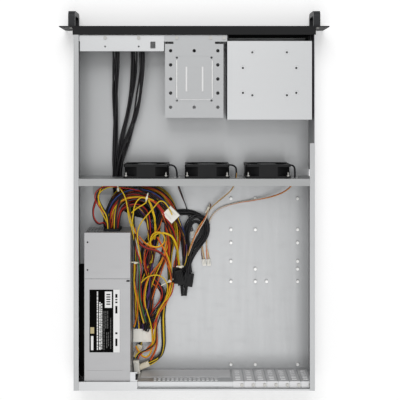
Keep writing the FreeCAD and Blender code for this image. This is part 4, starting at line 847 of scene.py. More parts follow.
@dataclass(frozen=True)
class Housing:
    """A plug's plastic housing.

    Attributes:
        place: Middle of the housing.
        size: Width, length and height.
        turn: Turn about the vertical in degrees.
        columns: Cells side by side.
        rows: Cells one above the other.
        latch: Whether it has a latch on top.
        ribs: Number of ribs across its top.
    """

    place: Point
    size: Point
    turn: float = 0.0
    columns: int = 2
    rows: int = 2
    latch: bool = False
    ribs: int = 0


@dataclass(frozen=True)
class Plug:
    """A plug, or a few that make one piece.

    Attributes:
        coat: Finish of its plastic.
        housings: Its housings.
        node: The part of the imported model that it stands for, if any.
    """

    coat: Coat
    housings: tuple[Housing, ...]
    node: str = ""


@dataclass
class Plugs:
    """The plugs on the cords' ends."""

    shop: Workshop
    wall: float = 0.0006
    depth: float = 0.006
    back_wall: float = 0.00048
    back_depth: float = 0.0012
    facing: float = 0.9  # how straight a face looks along the plug if it is an end of it
    bevel: float = 0.0004
    contact: float = 0.0007
    contact_share: float = 0.4  # most radius of a contact, in halves of its cell's width
    contact_gap: float = 0.001
    contact_sides: int = 8
    latch: float = 0.0016
    lever: float = 0.003  # this and the next two widths are halved, the runs are shares of half the length
    lever_run: Span = (-0.7, 0.75)
    catch: float = 0.0045
    catch_run: Span = (-0.75, -0.35)
    latch_bevel: float = 0.0003
    rib: float = 0.0005
    rib_run: Span = (-0.8, 0.5)
    rib_bevel: float = 0.0002
    sunk: float = 0.0002

    def _body(self, bm: bmesh.types.BMesh, half: Vector, item: Housing) -> None:
        """Adds a housing's box with its cells and contacts.

        Args:
            bm: The mesh that gets it.
            half: Half the box's size, up to the foot of its latch.
            item: The housing.
        """
        low, high = Vector((-half.x, -half.y, -item.size[2] / 2)), half
        body = add_block(bm, low, high)
        verts = list({v for f in body for v in f.verts})
        geom = verts + list({e for v in verts for e in v.link_edges}) + body
        for axis, count in ((0, item.columns), (2, item.rows)):
            normal = Vector([float(k == axis) for k in range(3)])
            for i in range(1, count):
                place = normal * (low[axis] + (high[axis] - low[axis]) * i / count)
                cut = bmesh.ops.bisect_plane(bm, geom=geom, dist=1e-7, plane_co=place, plane_no=normal)
                geom = list(set(cut["geom"]) | {g for g in geom if g.is_valid})
        faces = {g for g in geom if isinstance(g, bmesh.types.BMFace) and g.is_valid}
        front, back = ([f for f in faces if f.normal.y * way > self.facing] for way in (1, -1))
        centres = [f.calc_center_median() for f in front]
        sink_cells(bm, front, self.wall, self.depth)
        sink_cells(bm, back, self.back_wall, self.back_depth)
        radius = min(self.contact, half.x / item.columns * self.contact_share)
        for centre in centres:
            foot, tip = (centre - Vector((0, down, 0)) for down in (self.depth, self.contact_gap))
            add_rod(bm, foot, tip, radius, radius, self.contact_sides, 1)

    def _housing(self, bm: bmesh.types.BMesh, item: Housing) -> None:
        """Adds one housing with its cells, contacts, latch and ribs.

        Args:
            bm: The mesh that gets it.
            item: What it is.
        """
        old = set(bm.verts)
        half = Vector(item.size) / 2
        top, face = half.z, half.z - (self.latch if item.latch else 0.0)
        half.z = face
        self._body(bm, half, item)

        def strip(middle: float, width: float, run: Span, foot: float, head: float, bevel: float) -> None:
            """Adds a strip that runs along the housing's top."""
            add_block(bm, (middle - width, run[0] * half.y, foot), (middle + width, run[1] * half.y, head),
                      bevel=bevel)

        if item.latch:
            strip(0, self.lever, self.lever_run, face, top, self.latch_bevel)
            strip(0, self.catch, self.catch_run, face - 2 * self.sunk, top - self.sunk, self.latch_bevel)
        for i in range(item.ribs):
            middle = half.x * (2 * (i + 0.5) / item.ribs - 1)
            strip(middle, self.rib, self.rib_run, face - self.sunk, top, self.rib_bevel)
        turn = Matrix.Rotation(math.radians(item.turn), 4, "Z")
        place_new(bm, old, Matrix.Translation(item.place) @ turn)

    def build(self, plugs: dict[str, Plug]) -> None:
        """Makes every plug.

        Args:
            plugs: The plugs by their pieces' names.
        """
        for name, plug in plugs.items():
            bm = bmesh.new()
            for item in plug.housings:
                self._housing(bm, item)
            slot = "black_plastic" if plug.coat is Coat.BLACK_PLASTIC else "white_plastic"
            self.shop.add(name, bm, [plug.coat, Coat.CONTACT], slot, bevel=self.bevel, instead_of=plug.node)


@dataclass(frozen=True)
class Tie:
    """A plastic tie round a bundle.

    Attributes:
        middle: Middle of its ring.
        along: Direction of the wires.
        radius: Inner radius of the ring.
        tail: Length of its cut tail.
    """

    middle: Point
    along: Point
    radius: float
    tail: float


@dataclass
class Ties:
    """Makes the ties: a band, a head and a tail each."""

    shop: Workshop
    band: float = 0.0024
    sheet: float = 0.0009
    steps: int = 28
    head: float = 0.0024  # half its length
    head_low: float = 0.0006
    head_high: float = 0.0026
    head_lip: float = 0.0007  # how far it stands past the band on each side
    head_bevel: float = 0.0004
    tail_start: float = 0.0022
    tail_low: float = 0.0004
    tail_high: float = 0.0014
    tail_share: float = 0.8  # its width in widths of the band
    tail_bevel: float = 0.0002

    def _tie(self, bm: bmesh.types.BMesh, tie: Tie) -> None:
        """Adds one tie.

        Args:
            bm: The mesh that gets it.
            tie: What it is.
        """
        old = set(bm.verts)
        half, top = self.band / 2, tie.radius + self.sheet
        corners = ((tie.radius, -half), (top, -half), (top, half), (tie.radius, half))
        profile = [bm.verts.new((x, 0, z)) for x, z in corners]
        edges = [bm.edges.new((profile[i], profile[(i + 1) % 4])) for i in range(4)]
        bmesh.ops.spin(bm, geom=profile + edges, cent=(0, 0, 0), axis=UP, angle=math.tau, steps=self.steps,
                       use_merge=True)
        wide, narrow = half + self.head_lip, half * self.tail_share
        add_block(bm, (top - self.head_low, -self.head, -wide), (top + self.head_high, self.head, wide),
                  bevel=self.head_bevel)
        add_block(bm, (top + self.tail_low, self.tail_start, -narrow),
                  (top + self.tail_high, self.tail_start + tie.tail, narrow), bevel=self.tail_bevel)
        turn = UP.rotation_difference(Vector(tie.along).normalized()).to_matrix().to_4x4()
        lift = turn.inverted() @ UP
        roll = Matrix.Rotation(math.atan2(lift.y, lift.x), 4, "Z")
        place_new(bm, old, Matrix.Translation(tie.middle) @ turn @ roll)

    def build(self, ties: Sequence[Tie]) -> None:
        """Makes the ties.

        Args:
            ties: What each is.
        """
        bm = bmesh.new()
        for tie in ties:
            self._tie(bm, tie)
        bmesh.ops.recalc_face_normals(bm, faces=bm.faces[:])
        self.shop.add("cable_ties", bm, [Coat.TIE], "white_plastic")


@dataclass(frozen=True)
class Ridges:
    """A pair of ridges pressed beside a sunk field of the drive tray.

    Attributes:
        apart: Distance of each from the field's middle.
        length: Length of each.
        down: How far they lie under the tray's top.
        width: Width of each.
    """

    apart: float
    length: float
    down: float
    width: float


@dataclass
class Enclosure:
    """The sheet metal case: finishes and small fittings."""

    shop: Workshop
    outer: Ridges = Ridges(0.0317, 0.067, 0.0005, 0.0014)
    inner: Ridges = Ridges(0.0144, 0.0445, 0.0008, 0.0036)
    field_shift: float = 0.0019
    field_y: float = -0.21695
    cross_gap: float = 0.0032
    ridge_height: float = 0.001
    ridge_sunk: float = 0.0001
    ridge_bevel: float = 0.45  # in heights of the ridge
    ports: tuple[Point, ...] = (  # middle, width and height
        (0.066, 0.014, 0.028), (0.036, 0.03, 0.012), (0.004, 0.014, 0.0155), (-0.014, 0.0165, 0.014),
        (-0.042, 0.014, 0.03))
    port_base: float = 0.004
    port_faces: Span = (0.0002, 0.0006)  # behind the plate's front
    # The liner is painted shade: a black sheet that darkens the gap beside the supply.
    shade_liner_length: float = 0.2105
    shade_liner_height: float = 0.06
    shade_liner_foot: float = 0.0013
    shade_liner_sheet: float = 0.0004
    shade_liner_gap: float = 0.0005
    side_metal: float = 0.0014  # with the space between it and the painted shade liner

    def build(self) -> None:
        """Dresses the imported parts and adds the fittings."""
        self.shop.dress({
            Coat.ZINC: ("front_wall", "control_bracket", "big_cage", "corner_bracket", "rear_wall"),
            Coat.ZINC_REAR: ("io_plate", "slot_covers"), Coat.ZINC_TRAY: ("chassis_tray",),
            Coat.ZINC_DULL: ("fan_wall",), Coat.ZINC_CAGE: ("centre_cage",), Coat.BRIGHT_ZINC: ("standoffs",),
            Coat.BLACK_PAINT: ("front_panel",), Coat.HANDLE_PAINT: ("handle_left", "handle_right"),
            Coat.BLACK_PLASTIC: ("bay_cover_lower", "bay_cover_upper", "bay_cover_small", "power_button",
                                 "reset_button"),
            Coat.CLEAR: ("light_pipes",), Coat.SOCKET: ("usb_sockets",), Coat.BOARD: ("control_board",),
            Coat.BOARD_PARTS: ("board_parts",), Coat.SCREW: ("screws",)})
        self._ridges()
        self._port_blanks()
        self._liner()

    def _liner(self) -> None:
        """Painted shade: a thin black sheet in the gap between the supply and the side of the tray."""
        bm = bmesh.new()
        supply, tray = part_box("psu_case")[1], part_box("chassis_tray")[1]
        left, right = supply.x + self.shade_liner_gap, tray.x - self.side_metal
        back = supply.y - self.shade_liner_gap
        front, foot = back - self.shade_liner_length, self.shade_liner_foot
        add_block(bm, (left, front, foot), (right, back, foot + self.shade_liner_sheet))
        add_block(bm, (right - self.shade_liner_sheet, front, foot + self.shade_liner_gap), (right, back, self.shade_liner_height))
        self.shop.add("side_shade_liner", bm, [Coat.LINER], "black_plastic")

    def _port_blanks(self) -> None:
        """Thin blanks left in the port openings of the I/O plate."""
        bm = bmesh.new()
        low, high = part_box("io_plate")
        near, far = (low.y + depth for depth in self.port_faces)
        foot = low.z + self.port_base
        for place, width, height in self.ports:
            middle = (low.x + high.x) / 2 + place
            add_block(bm, (middle - width / 2, near, foot), (middle + width / 2, far, foot + height))
        self.shop.add("port_blanks", bm, [Coat.ZINC_REAR], "zinc_steel")

    def _ridge(self, bm: bmesh.types.BMesh, middle: Span, size: Span, down: float) -> None:
        """Adds one ridge to the tray.

        Args:
            bm: The mesh that gets it.
            middle: Its middle across and along the tray.
            size: Its size across and along the tray.
            down: How far it lies under the tray's top.
        """
        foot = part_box("centre_cage")[1].z - down - self.ridge_sunk
        low, high = ([m + way * s / 2 for m, s in zip(middle, size)] for way in (-1, 1))
        add_block(bm, (*low, foot), (*high, foot + self.ridge_height), bevel=self.ridge_height * self.ridge_bevel)

    def _ridges(self) -> None:
        """Pressed ridges along the edges of the drive tray's sunk fields, coloured light as painted highlights of
        the glint on their folds.
        """
        low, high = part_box("centre_cage")
        middle = (low.x + high.x) / 2 + self.field_shift
        edges, folds = bmesh.new(), bmesh.new()
        for bm, pair in ((edges, self.outer), (folds, self.inner)):
            for side in (-1, 1):
                self._ridge(bm, (middle + side * pair.apart, self.field_y), (pair.width, pair.length), pair.down)
        outer = self.outer
        self._ridge(folds, (middle, self.field_y + outer.length / 2 + self.cross_gap),
                    (2 * outer.apart - 4 * outer.width, outer.width), outer.down)
        # Both coats paint the highlights along the folds: near-white for the thin glints, lighter zinc for the
        # wider bands.
        self.shop.add("tray_ridges_glint", edges, [Coat.BRIGHT_ZINC], "zinc_steel")
        self.shop.add("tray_fold_highlights", folds, [Coat.ZINC_FOLD], "zinc_steel")


@dataclass
class Fans:
    """The three case fans: finishes and the tips of their screws."""

    shop: Workshop
    holes: float = 0.0715  # from screw to screw
    inset: float = 0.0041
    length: float = 0.0075
    radius: float = 0.0021
    point: float = 0.0012
    sides: int = 10

    def build(self) -> None:
        """Dresses each fan and adds its screws."""
        bm = bmesh.new()
        for number in (1, 2, 3):
            frame = f"fan_frame_{number}"
            self.shop.dress({Coat.BLACK_PLASTIC: (frame,), Coat.ROTOR: (f"fan_rotor_{number}",)})
            low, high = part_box(frame)
            middle, start = (low + high) / 2, high.y - self.inset
            for across in (-self.holes / 2, self.holes / 2):
                for rise in (-self.holes / 2, self.holes / 2):
                    x, z = middle.x + across, middle.z + rise
                    add_rod(bm, (x, start, z), (x, start - self.length, z), self.radius, self.point, self.sides)
        self.shop.add("fan_screw_tips", bm, [Coat.SCREW], "screw_steel")


class Ink(Enum):
    """Inks of the supply's label, each with its material index and finish."""

    BASE = (0, Coat.LABEL)
    PALE = (1, Coat.LABEL_PALE)
    GREY = (2, Coat.LABEL_GREY)
    GOLD = (3, Coat.LABEL_GOLD)


@dataclass
class Supply:
    """The power supply: finishes and its label of plain bars, with no lettering.

    Places on the label are shares of its width and length, from its left edge and its front.
    """

    shop: Workshop
    sheet: float = 0.00006
    blocks: tuple[tuple[float, float, float, float, Ink], ...] = (  # left, right, front, back and ink
        (0.79, 1.0, 0.0, 1.0, Ink.PALE), (0.51, 0.74, 0.03, 0.29, Ink.PALE), (0.03, 0.155, 0.6, 0.7, Ink.GOLD),
        (0.05, 0.13, 0.74, 0.965, Ink.PALE))
    columns: tuple[tuple[float, float, float, float], ...] = (
        (0.245, 0.285, 0.03, 0.96), (0.32, 0.37, 0.2, 0.97), (0.39, 0.42, 0.22, 0.95), (0.47, 0.495, 0.34, 0.96),
        (0.53, 0.555, 0.34, 0.62), (0.59, 0.615, 0.34, 0.62), (0.56, 0.585, 0.68, 0.95), (0.62, 0.64, 0.68, 0.9),
        (0.69, 0.715, 0.45, 0.96))
    grey_from: float = 0.45
    stripes: Span = (0.56, 0.69)
    stripe_steps: tuple[float, ...] = (0.07, 0.108, 0.146, 0.184, 0.222)
    stripe: float = 0.018
    strip: Span = (0.855, 0.925)
    marks: tuple[Span, ...] = ((0.07, 0.13), (0.15, 0.17), (0.19, 0.215), (0.26, 0.38), (0.68, 0.71), (0.78, 0.9))
    run: Span = (0.012, 0.05)
    gap: Span = (0.006, 0.012)
    least: float = 0.01  # room that is still filled
    seed: int = 4

    def build(self) -> None:
        """Dresses the supply and lays its label."""
        self.shop.dress({
            Coat.ZINC_SUPPLY: ("psu_case", "psu_lid_front", "psu_lid_rear"), Coat.BOARD: ("psu_board",),
            Coat.RUBBER: ("psu_grommet",), Coat.ROTOR: ("psu_fan_rotor",),
            Coat.BLACK_PLASTIC: ("psu_fan_frame", "mains_inlet", "rocker_body", "rocker")})
        self._label()

    def _label(self) -> None:
        """A black label with plain bars, a few blocks and a pale edge strip."""
        low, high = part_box("psu_label")
        width, length = high.x - low.x, high.y - low.y
        bm = bmesh.new()
        add_block(bm, low, (high.x, high.y, high.z - self.sheet))

        def bar(left: float, right: float, front: float, back: float, ink: Ink, layer: int = 0) -> None:
            """Prints a plain block, placed by shares of the label from its left edge and its front."""
            base = high.z + (layer - 1) * self.sheet
            add_block(bm, (high.x - right * width, low.y + front * length, base),
                      (high.x - left * width, low.y + back * length, base + self.sheet), ink.value[0])

        for block in self.blocks:
            bar(*block)
        for front in self.stripe_steps:
            bar(*self.stripes, front, front + self.stripe, Ink.BASE, 1)
        dice = random.Random(self.seed)
        for left, right, y, back in self.columns:
            while y < back - self.least:
                end = y + dice.uniform(*self.run)
                bar(left, right, y, min(end, back), Ink.GREY if left > self.grey_from else Ink.PALE)
                y = end + dice.uniform(*self.gap)
        for mark in self.marks:
            bar(*self.strip, *mark, Ink.BASE, 1)
        self.shop.add("supply_label_print", bm, [ink.value[1] for ink in Ink], "label", instead_of="psu_label")


# ---------------------------------------------------------------- studio


@dataclass(frozen=True)
class Lamp:
    """A square soft lamp.

    Attributes:
        name: Its name.
        place: Where it stands.
        aim: The point it faces.
        size: Length of its side.
        power: Its power in watts.
    """

    name: str
    place: Point
    aim: Point
    size: float
    power: float


@dataclass
class Studio:
    """Pale floor, soft light and the camera over the open case."""

    eye: Point = (0.0, -0.16535, 1.766)
    lens: float = 84.8
    sensor: float = 36.0
    shift: Span = (0.0144, -0.23)
    far: float = 50.0
    lamps: tuple[Lamp, ...] = (
        Lamp("key", (0.1, -1.4, 2.3), (0, 0.05, 0), 1.2, 22),
        Lamp("overhead", (-0.05, 0.75, 2.6), (-0.02, 0.2, 0), 1.3, 15))
    floor_half: float = 6.0  # half its side
    floor_drop: float = 0.0002
    paper: float = 0.86
    paper_roughness: float = 0.9
    paper_glow: float = 0.3  # added where the floor is seen
    sky: float = 0.45
    sky_glow: float = 0.55  # added where the backdrop is seen

    def build(self) -> None:
        """Makes the floor, the lights, the world and the camera."""
        self._floor()
        self._world()
        for lamp in self.lamps:
            self._lamp(lamp)
        self._camera()
        bpy.context.scene.view_settings.view_transform = "Standard"

    @staticmethod
    def _seen(tree: bpy.types.NodeTree) -> bpy.types.NodeSocket:
        """1 where a surface is seen straight, in a gloss or through something clear.

        Args:
            tree: The tree that gets the nodes.

        Returns:
            The socket that holds it.
        """
        rays = tree.nodes.new("ShaderNodeLightPath").outputs
        total = math_node(tree, "ADD", rays["Is Camera Ray"], rays["Is Glossy Ray"])
        total = math_node(tree, "ADD", total, rays["Is Transmission Ray"])
        return math_node(tree, "MINIMUM", total, 1.0)

    def _floor(self) -> None:
        """A wide pale sheet that the camera sees as white."""
        bm = bmesh.new()
        bmesh.ops.create_grid(bm, x_segments=2, y_segments=2, size=self.floor_half)
        mesh = bpy.data.meshes.new("studio_floor")
        bm.to_mesh(mesh)
        bm.free()
        material = bpy.data.materials.new("studio_paper")
        material.use_nodes = True
        tree = material.node_tree
        shader = tree.nodes["Principled BSDF"]
        shader.inputs["Base Color"].default_value = (self.paper, self.paper, self.paper, 1)
        shader.inputs["Roughness"].default_value = self.paper_roughness
        glow = tree.nodes.new("ShaderNodeEmission")
        glow.inputs["Color"].default_value = (1, 1, 1, 1)
        tree.links.new(math_node(tree, "MULTIPLY", self._seen(tree), self.paper_glow), glow.inputs["Strength"])
        both = tree.nodes.new("ShaderNodeAddShader")
        tree.links.new(shader.outputs[0], both.inputs[0])
        tree.links.new(glow.outputs[0], both.inputs[1])
        tree.links.new(both.outputs[0], tree.nodes["Material Output"].inputs["Surface"])
        mesh.materials.append(material)
        floor = show("studio_floor", mesh)
        floor.location.z = -self.floor_drop

    def _world(self) -> None:
        """Even soft light from all round, white where the camera sees it."""
        world = bpy.data.worlds.new("studio")
        bpy.context.scene.world = world
        world.use_nodes = True
        tree = world.node_tree
        back = tree.nodes["Background"]
        back.inputs["Color"].default_value = (1, 1, 1, 1)
        strength = math_node(tree, "MULTIPLY_ADD", self._seen(tree), self.sky_glow, self.sky)
        tree.links.new(strength, back.inputs["Strength"])

    @staticmethod
    def _lamp(lamp: Lamp) -> None:
        """Adds a lamp.

        Args:
            lamp: What it is.
        """
        light = bpy.data.lights.new(lamp.name, "AREA")
        light.shape = "SQUARE"
        light.size = lamp.size
        light.energy = lamp.power
        stand = show(lamp.name, light)
        stand.location = lamp.place
        stand.rotation_euler = (Vector(lamp.aim) - Vector(lamp.place)).to_track_quat("-Z", "Y").to_euler()

    def _camera(self) -> None:
        """Looks straight down with the front of the case at the top of the frame."""
        data = bpy.data.cameras.new("camera")
        data.lens = self.lens
        data.sensor_width = self.sensor
        data.shift_x, data.shift_y = self.shift
        data.clip_end = self.far
        camera = show("camera", data)
        camera.location = self.eye
        camera.rotation_euler = (0, 0, math.pi)
        bpy.context.scene.camera = camera


# ---------------------------------------------------------------- the cords' tables


BLACK, BROWN, RED, ORANGE, YELLOW = Coat.BLACK, Coat.BROWN, Coat.RED, Coat.ORANGE, Coat.YELLOW
GREEN, BLUE, PURPLE, GREY, WHITE, PALE = Coat.GREEN, Coat.BLUE, Coat.PURPLE, Coat.GREY, Coat.WHITE, Coat.PALE

PACKED_CORDS: dict[str, Cord] = {
    "atx_cable_a": Cord((
        (155, 53.35, 46), (155, 20.35, 46), (143, -8.65, 41), (112, -22.65, 37), (78, -14.65, 34),
        (54, 10.35, 32), (45, 48.35, 31), (51, 98.35, 30), (70, 144.35, 24), (84, 192.35, 15), (84, 244.35, 15)),
        0.013, 0.404, (ORANGE, RED, YELLOW, BLACK, BLACK, ORANGE, RED, BLACK, YELLOW, BROWN, BLACK, ORANGE),
        plug="atx_plug_housing", columns=6, pitch=0.0033),
    "atx_cable_b": Cord((
        (141, 53.35, 46), (141, 28.35, 46), (128, 4.35, 36), (98, -3.65, 24), (74, 12.35, 18),
        (66, 48.35, 17.4), (76, 96.35, 17), (91, 146.35, 16.6), (101, 194.35, 15), (101, 244.35, 15)),
        0.013, 0.347, (BLACK, BLACK, BROWN, RED, PURPLE, BLACK, GREEN, GREY, BLACK, YELLOW, BLUE, BLACK),
        plug="atx_plug_housing", columns=6, pitch=0.0033),
    "cpu_cable": Cord((
        (154, 53.35, 29), (154, 23.35, 29), (142, -5.65, 22), (112, -23.65, 15), (76, -21.65, 11.6),
        (48, -5.65, 11.4), (35, 26.35, 11.4), (37, 72.35, 11.4), (48, 116.35, 6.4), (45, 166.35, 5.8),
        (58, 212.35, 5.8), (58, 254.35, 7), (57, 280.35, 10), (65, 301.35, 13), (84, 309.35, 13)),
        0.008, 0.493, (YELLOW, BLACK, YELLOW, BLACK, YELLOW, BLACK, YELLOW, BLACK), plug="cpu_plugs_housing",
        columns=4, pitch=0.0023),
    "cpu_cable_b": Cord((
        (72, 220.35, 5), (81, 238.35, 5), (93, 254.35, 5), (101, 276.35, 5)),
        0.006, 0.063, (YELLOW, BLACK, YELLOW, BLACK), plug="cpu_plugs_housing", columns=2, pitch=0.003,
        loose=0.1),
    "sata_cable": Cord((
        (142, 53.35, 59), (142, 24.35, 59), (131, -8.65, 54), (102, -23.65, 49), (66, -17.65, 44),
        (41, 6.35, 42), (29, 44.35, 36), (28, 82.35, 22), (33.5, 113.35, 5.8), (33.5, 132.35, 5.8)),
        0.008, 0.298, (YELLOW, BLACK, RED, BLACK, ORANGE), plug="sata_plug_housing", columns=5, pitch=0.0024),
    "molex_cable": Cord((
        (155, 53.35, 60), (155, 32.35, 60), (170, 14.35, 62), (179, -8.65, 62), (160, -24.15, 63),
        (126, -23.65, 62.4), (92, -15.65, 59.6), (69.5, 0.85, 52), (50.5, 19.85, 52)),
        0.008, 0.212, (YELLOW, BLACK, BLACK, RED), plug="molex_plug_housing", columns=4, pitch=0.0039),
    "front_usb_cable": Cord((
        (104, -278.65, 63), (104, -251.65, 63), (109, -211.65, 36), (122, -163.65, 11), (136, -111.65, 6),
        (140, -59.65, 8.4), (138, -15.65, 7), (120, 12.35, 4.3), (80, 24.35, 4.1), (42, 26.35, 4.1),
        (8, 24.35, 4.1), (-18, 36.35, 4.1), (-27, 60.35, 4.1), (-18, 84.35, 4.1), (0, 95.35, 4.1),
        (11, 103.35, 4.4), (11, 117.35, 4.4)),
        0.005, 0.547, (BLACK,) * 3, wire=0.0014, plug="usb_plug_housing", columns=3, pitch=0.0026,
        lay=Lay.THROUGH_WALL),
    "front_panel_cable": Cord((
        (146, -278.65, 63), (146, -251.65, 63), (149, -211.65, 36), (148, -159.65, 11), (145, -105.65, 6),
        (149, -53.65, 8.4), (149, -7.65, 7), (136, 22.35, 4.3), (104, 38.35, 4.1), (62, 43.35, 4.1),
        (32, 58.35, 4.1), (19, 86.35, 4.1), (20, 120.35, 4.1), (20, 154.35, 4.1)),
        0.005, 0.522, (BLACK,) * 4, wire=0.001, plug="switch_plugs_housing", columns=4, pitch=0.0021,
        lay=Lay.THROUGH_WALL),
    "fan_cable_1": Cord((
        (46.4, -61.65, 49), (37, -61.65, 49), (31.6, -52.65, 49), (31, -27.65, 43), (24, -5.65, 22),
        (16, 14.35, 11), (9, 40.35, 7.8), (4, 64.35, 3.8)),
        0.003, 0.150, (BLACK, BROWN, BLACK), wire=0.0006, plug="fan_plug_1_housing", columns=3, pitch=0.002,
        lay=Lay.FAN_LEAD, sleeve=0.038),
    "fan_cable_2": Cord((
        (-63.1, -61.65, 49), (-73, -61.65, 49), (-77.8, -52.65, 49), (-74, -19.65, 44), (-48, 4.35, 24),
        (-24, 28.35, 9.4), (-14, 64.35, 8.6), (-13, 92.35, 9), (-17, 116.35, 4.2)),
        0.003, 0.216, (PALE, WHITE, BROWN), wire=0.0008, plug="fan_plug_2_housing", columns=3, pitch=0.002,
        lay=Lay.FAN_LEAD, sleeve=0.038),
    "fan_cable_3": Cord((
        (-172.5, -61.65, 49), (-181, -61.65, 49), (-184, -52.65, 49), (-183, -27.65, 45), (-163, -7.65, 30),
        (-122, 5.35, 11.6), (-76, 11.35, 3.6), (-38, 24.35, 8.4), (-24, 56.35, 9.6), (-22, 92.35, 8),
        (-26, 116.35, 4.2)),
        0.003, 0.298, (PALE, WHITE, ORANGE), wire=0.0008, plug="fan_plug_3_housing", columns=3, pitch=0.002,
        lay=Lay.FAN_LEAD, sleeve=0.038),
}

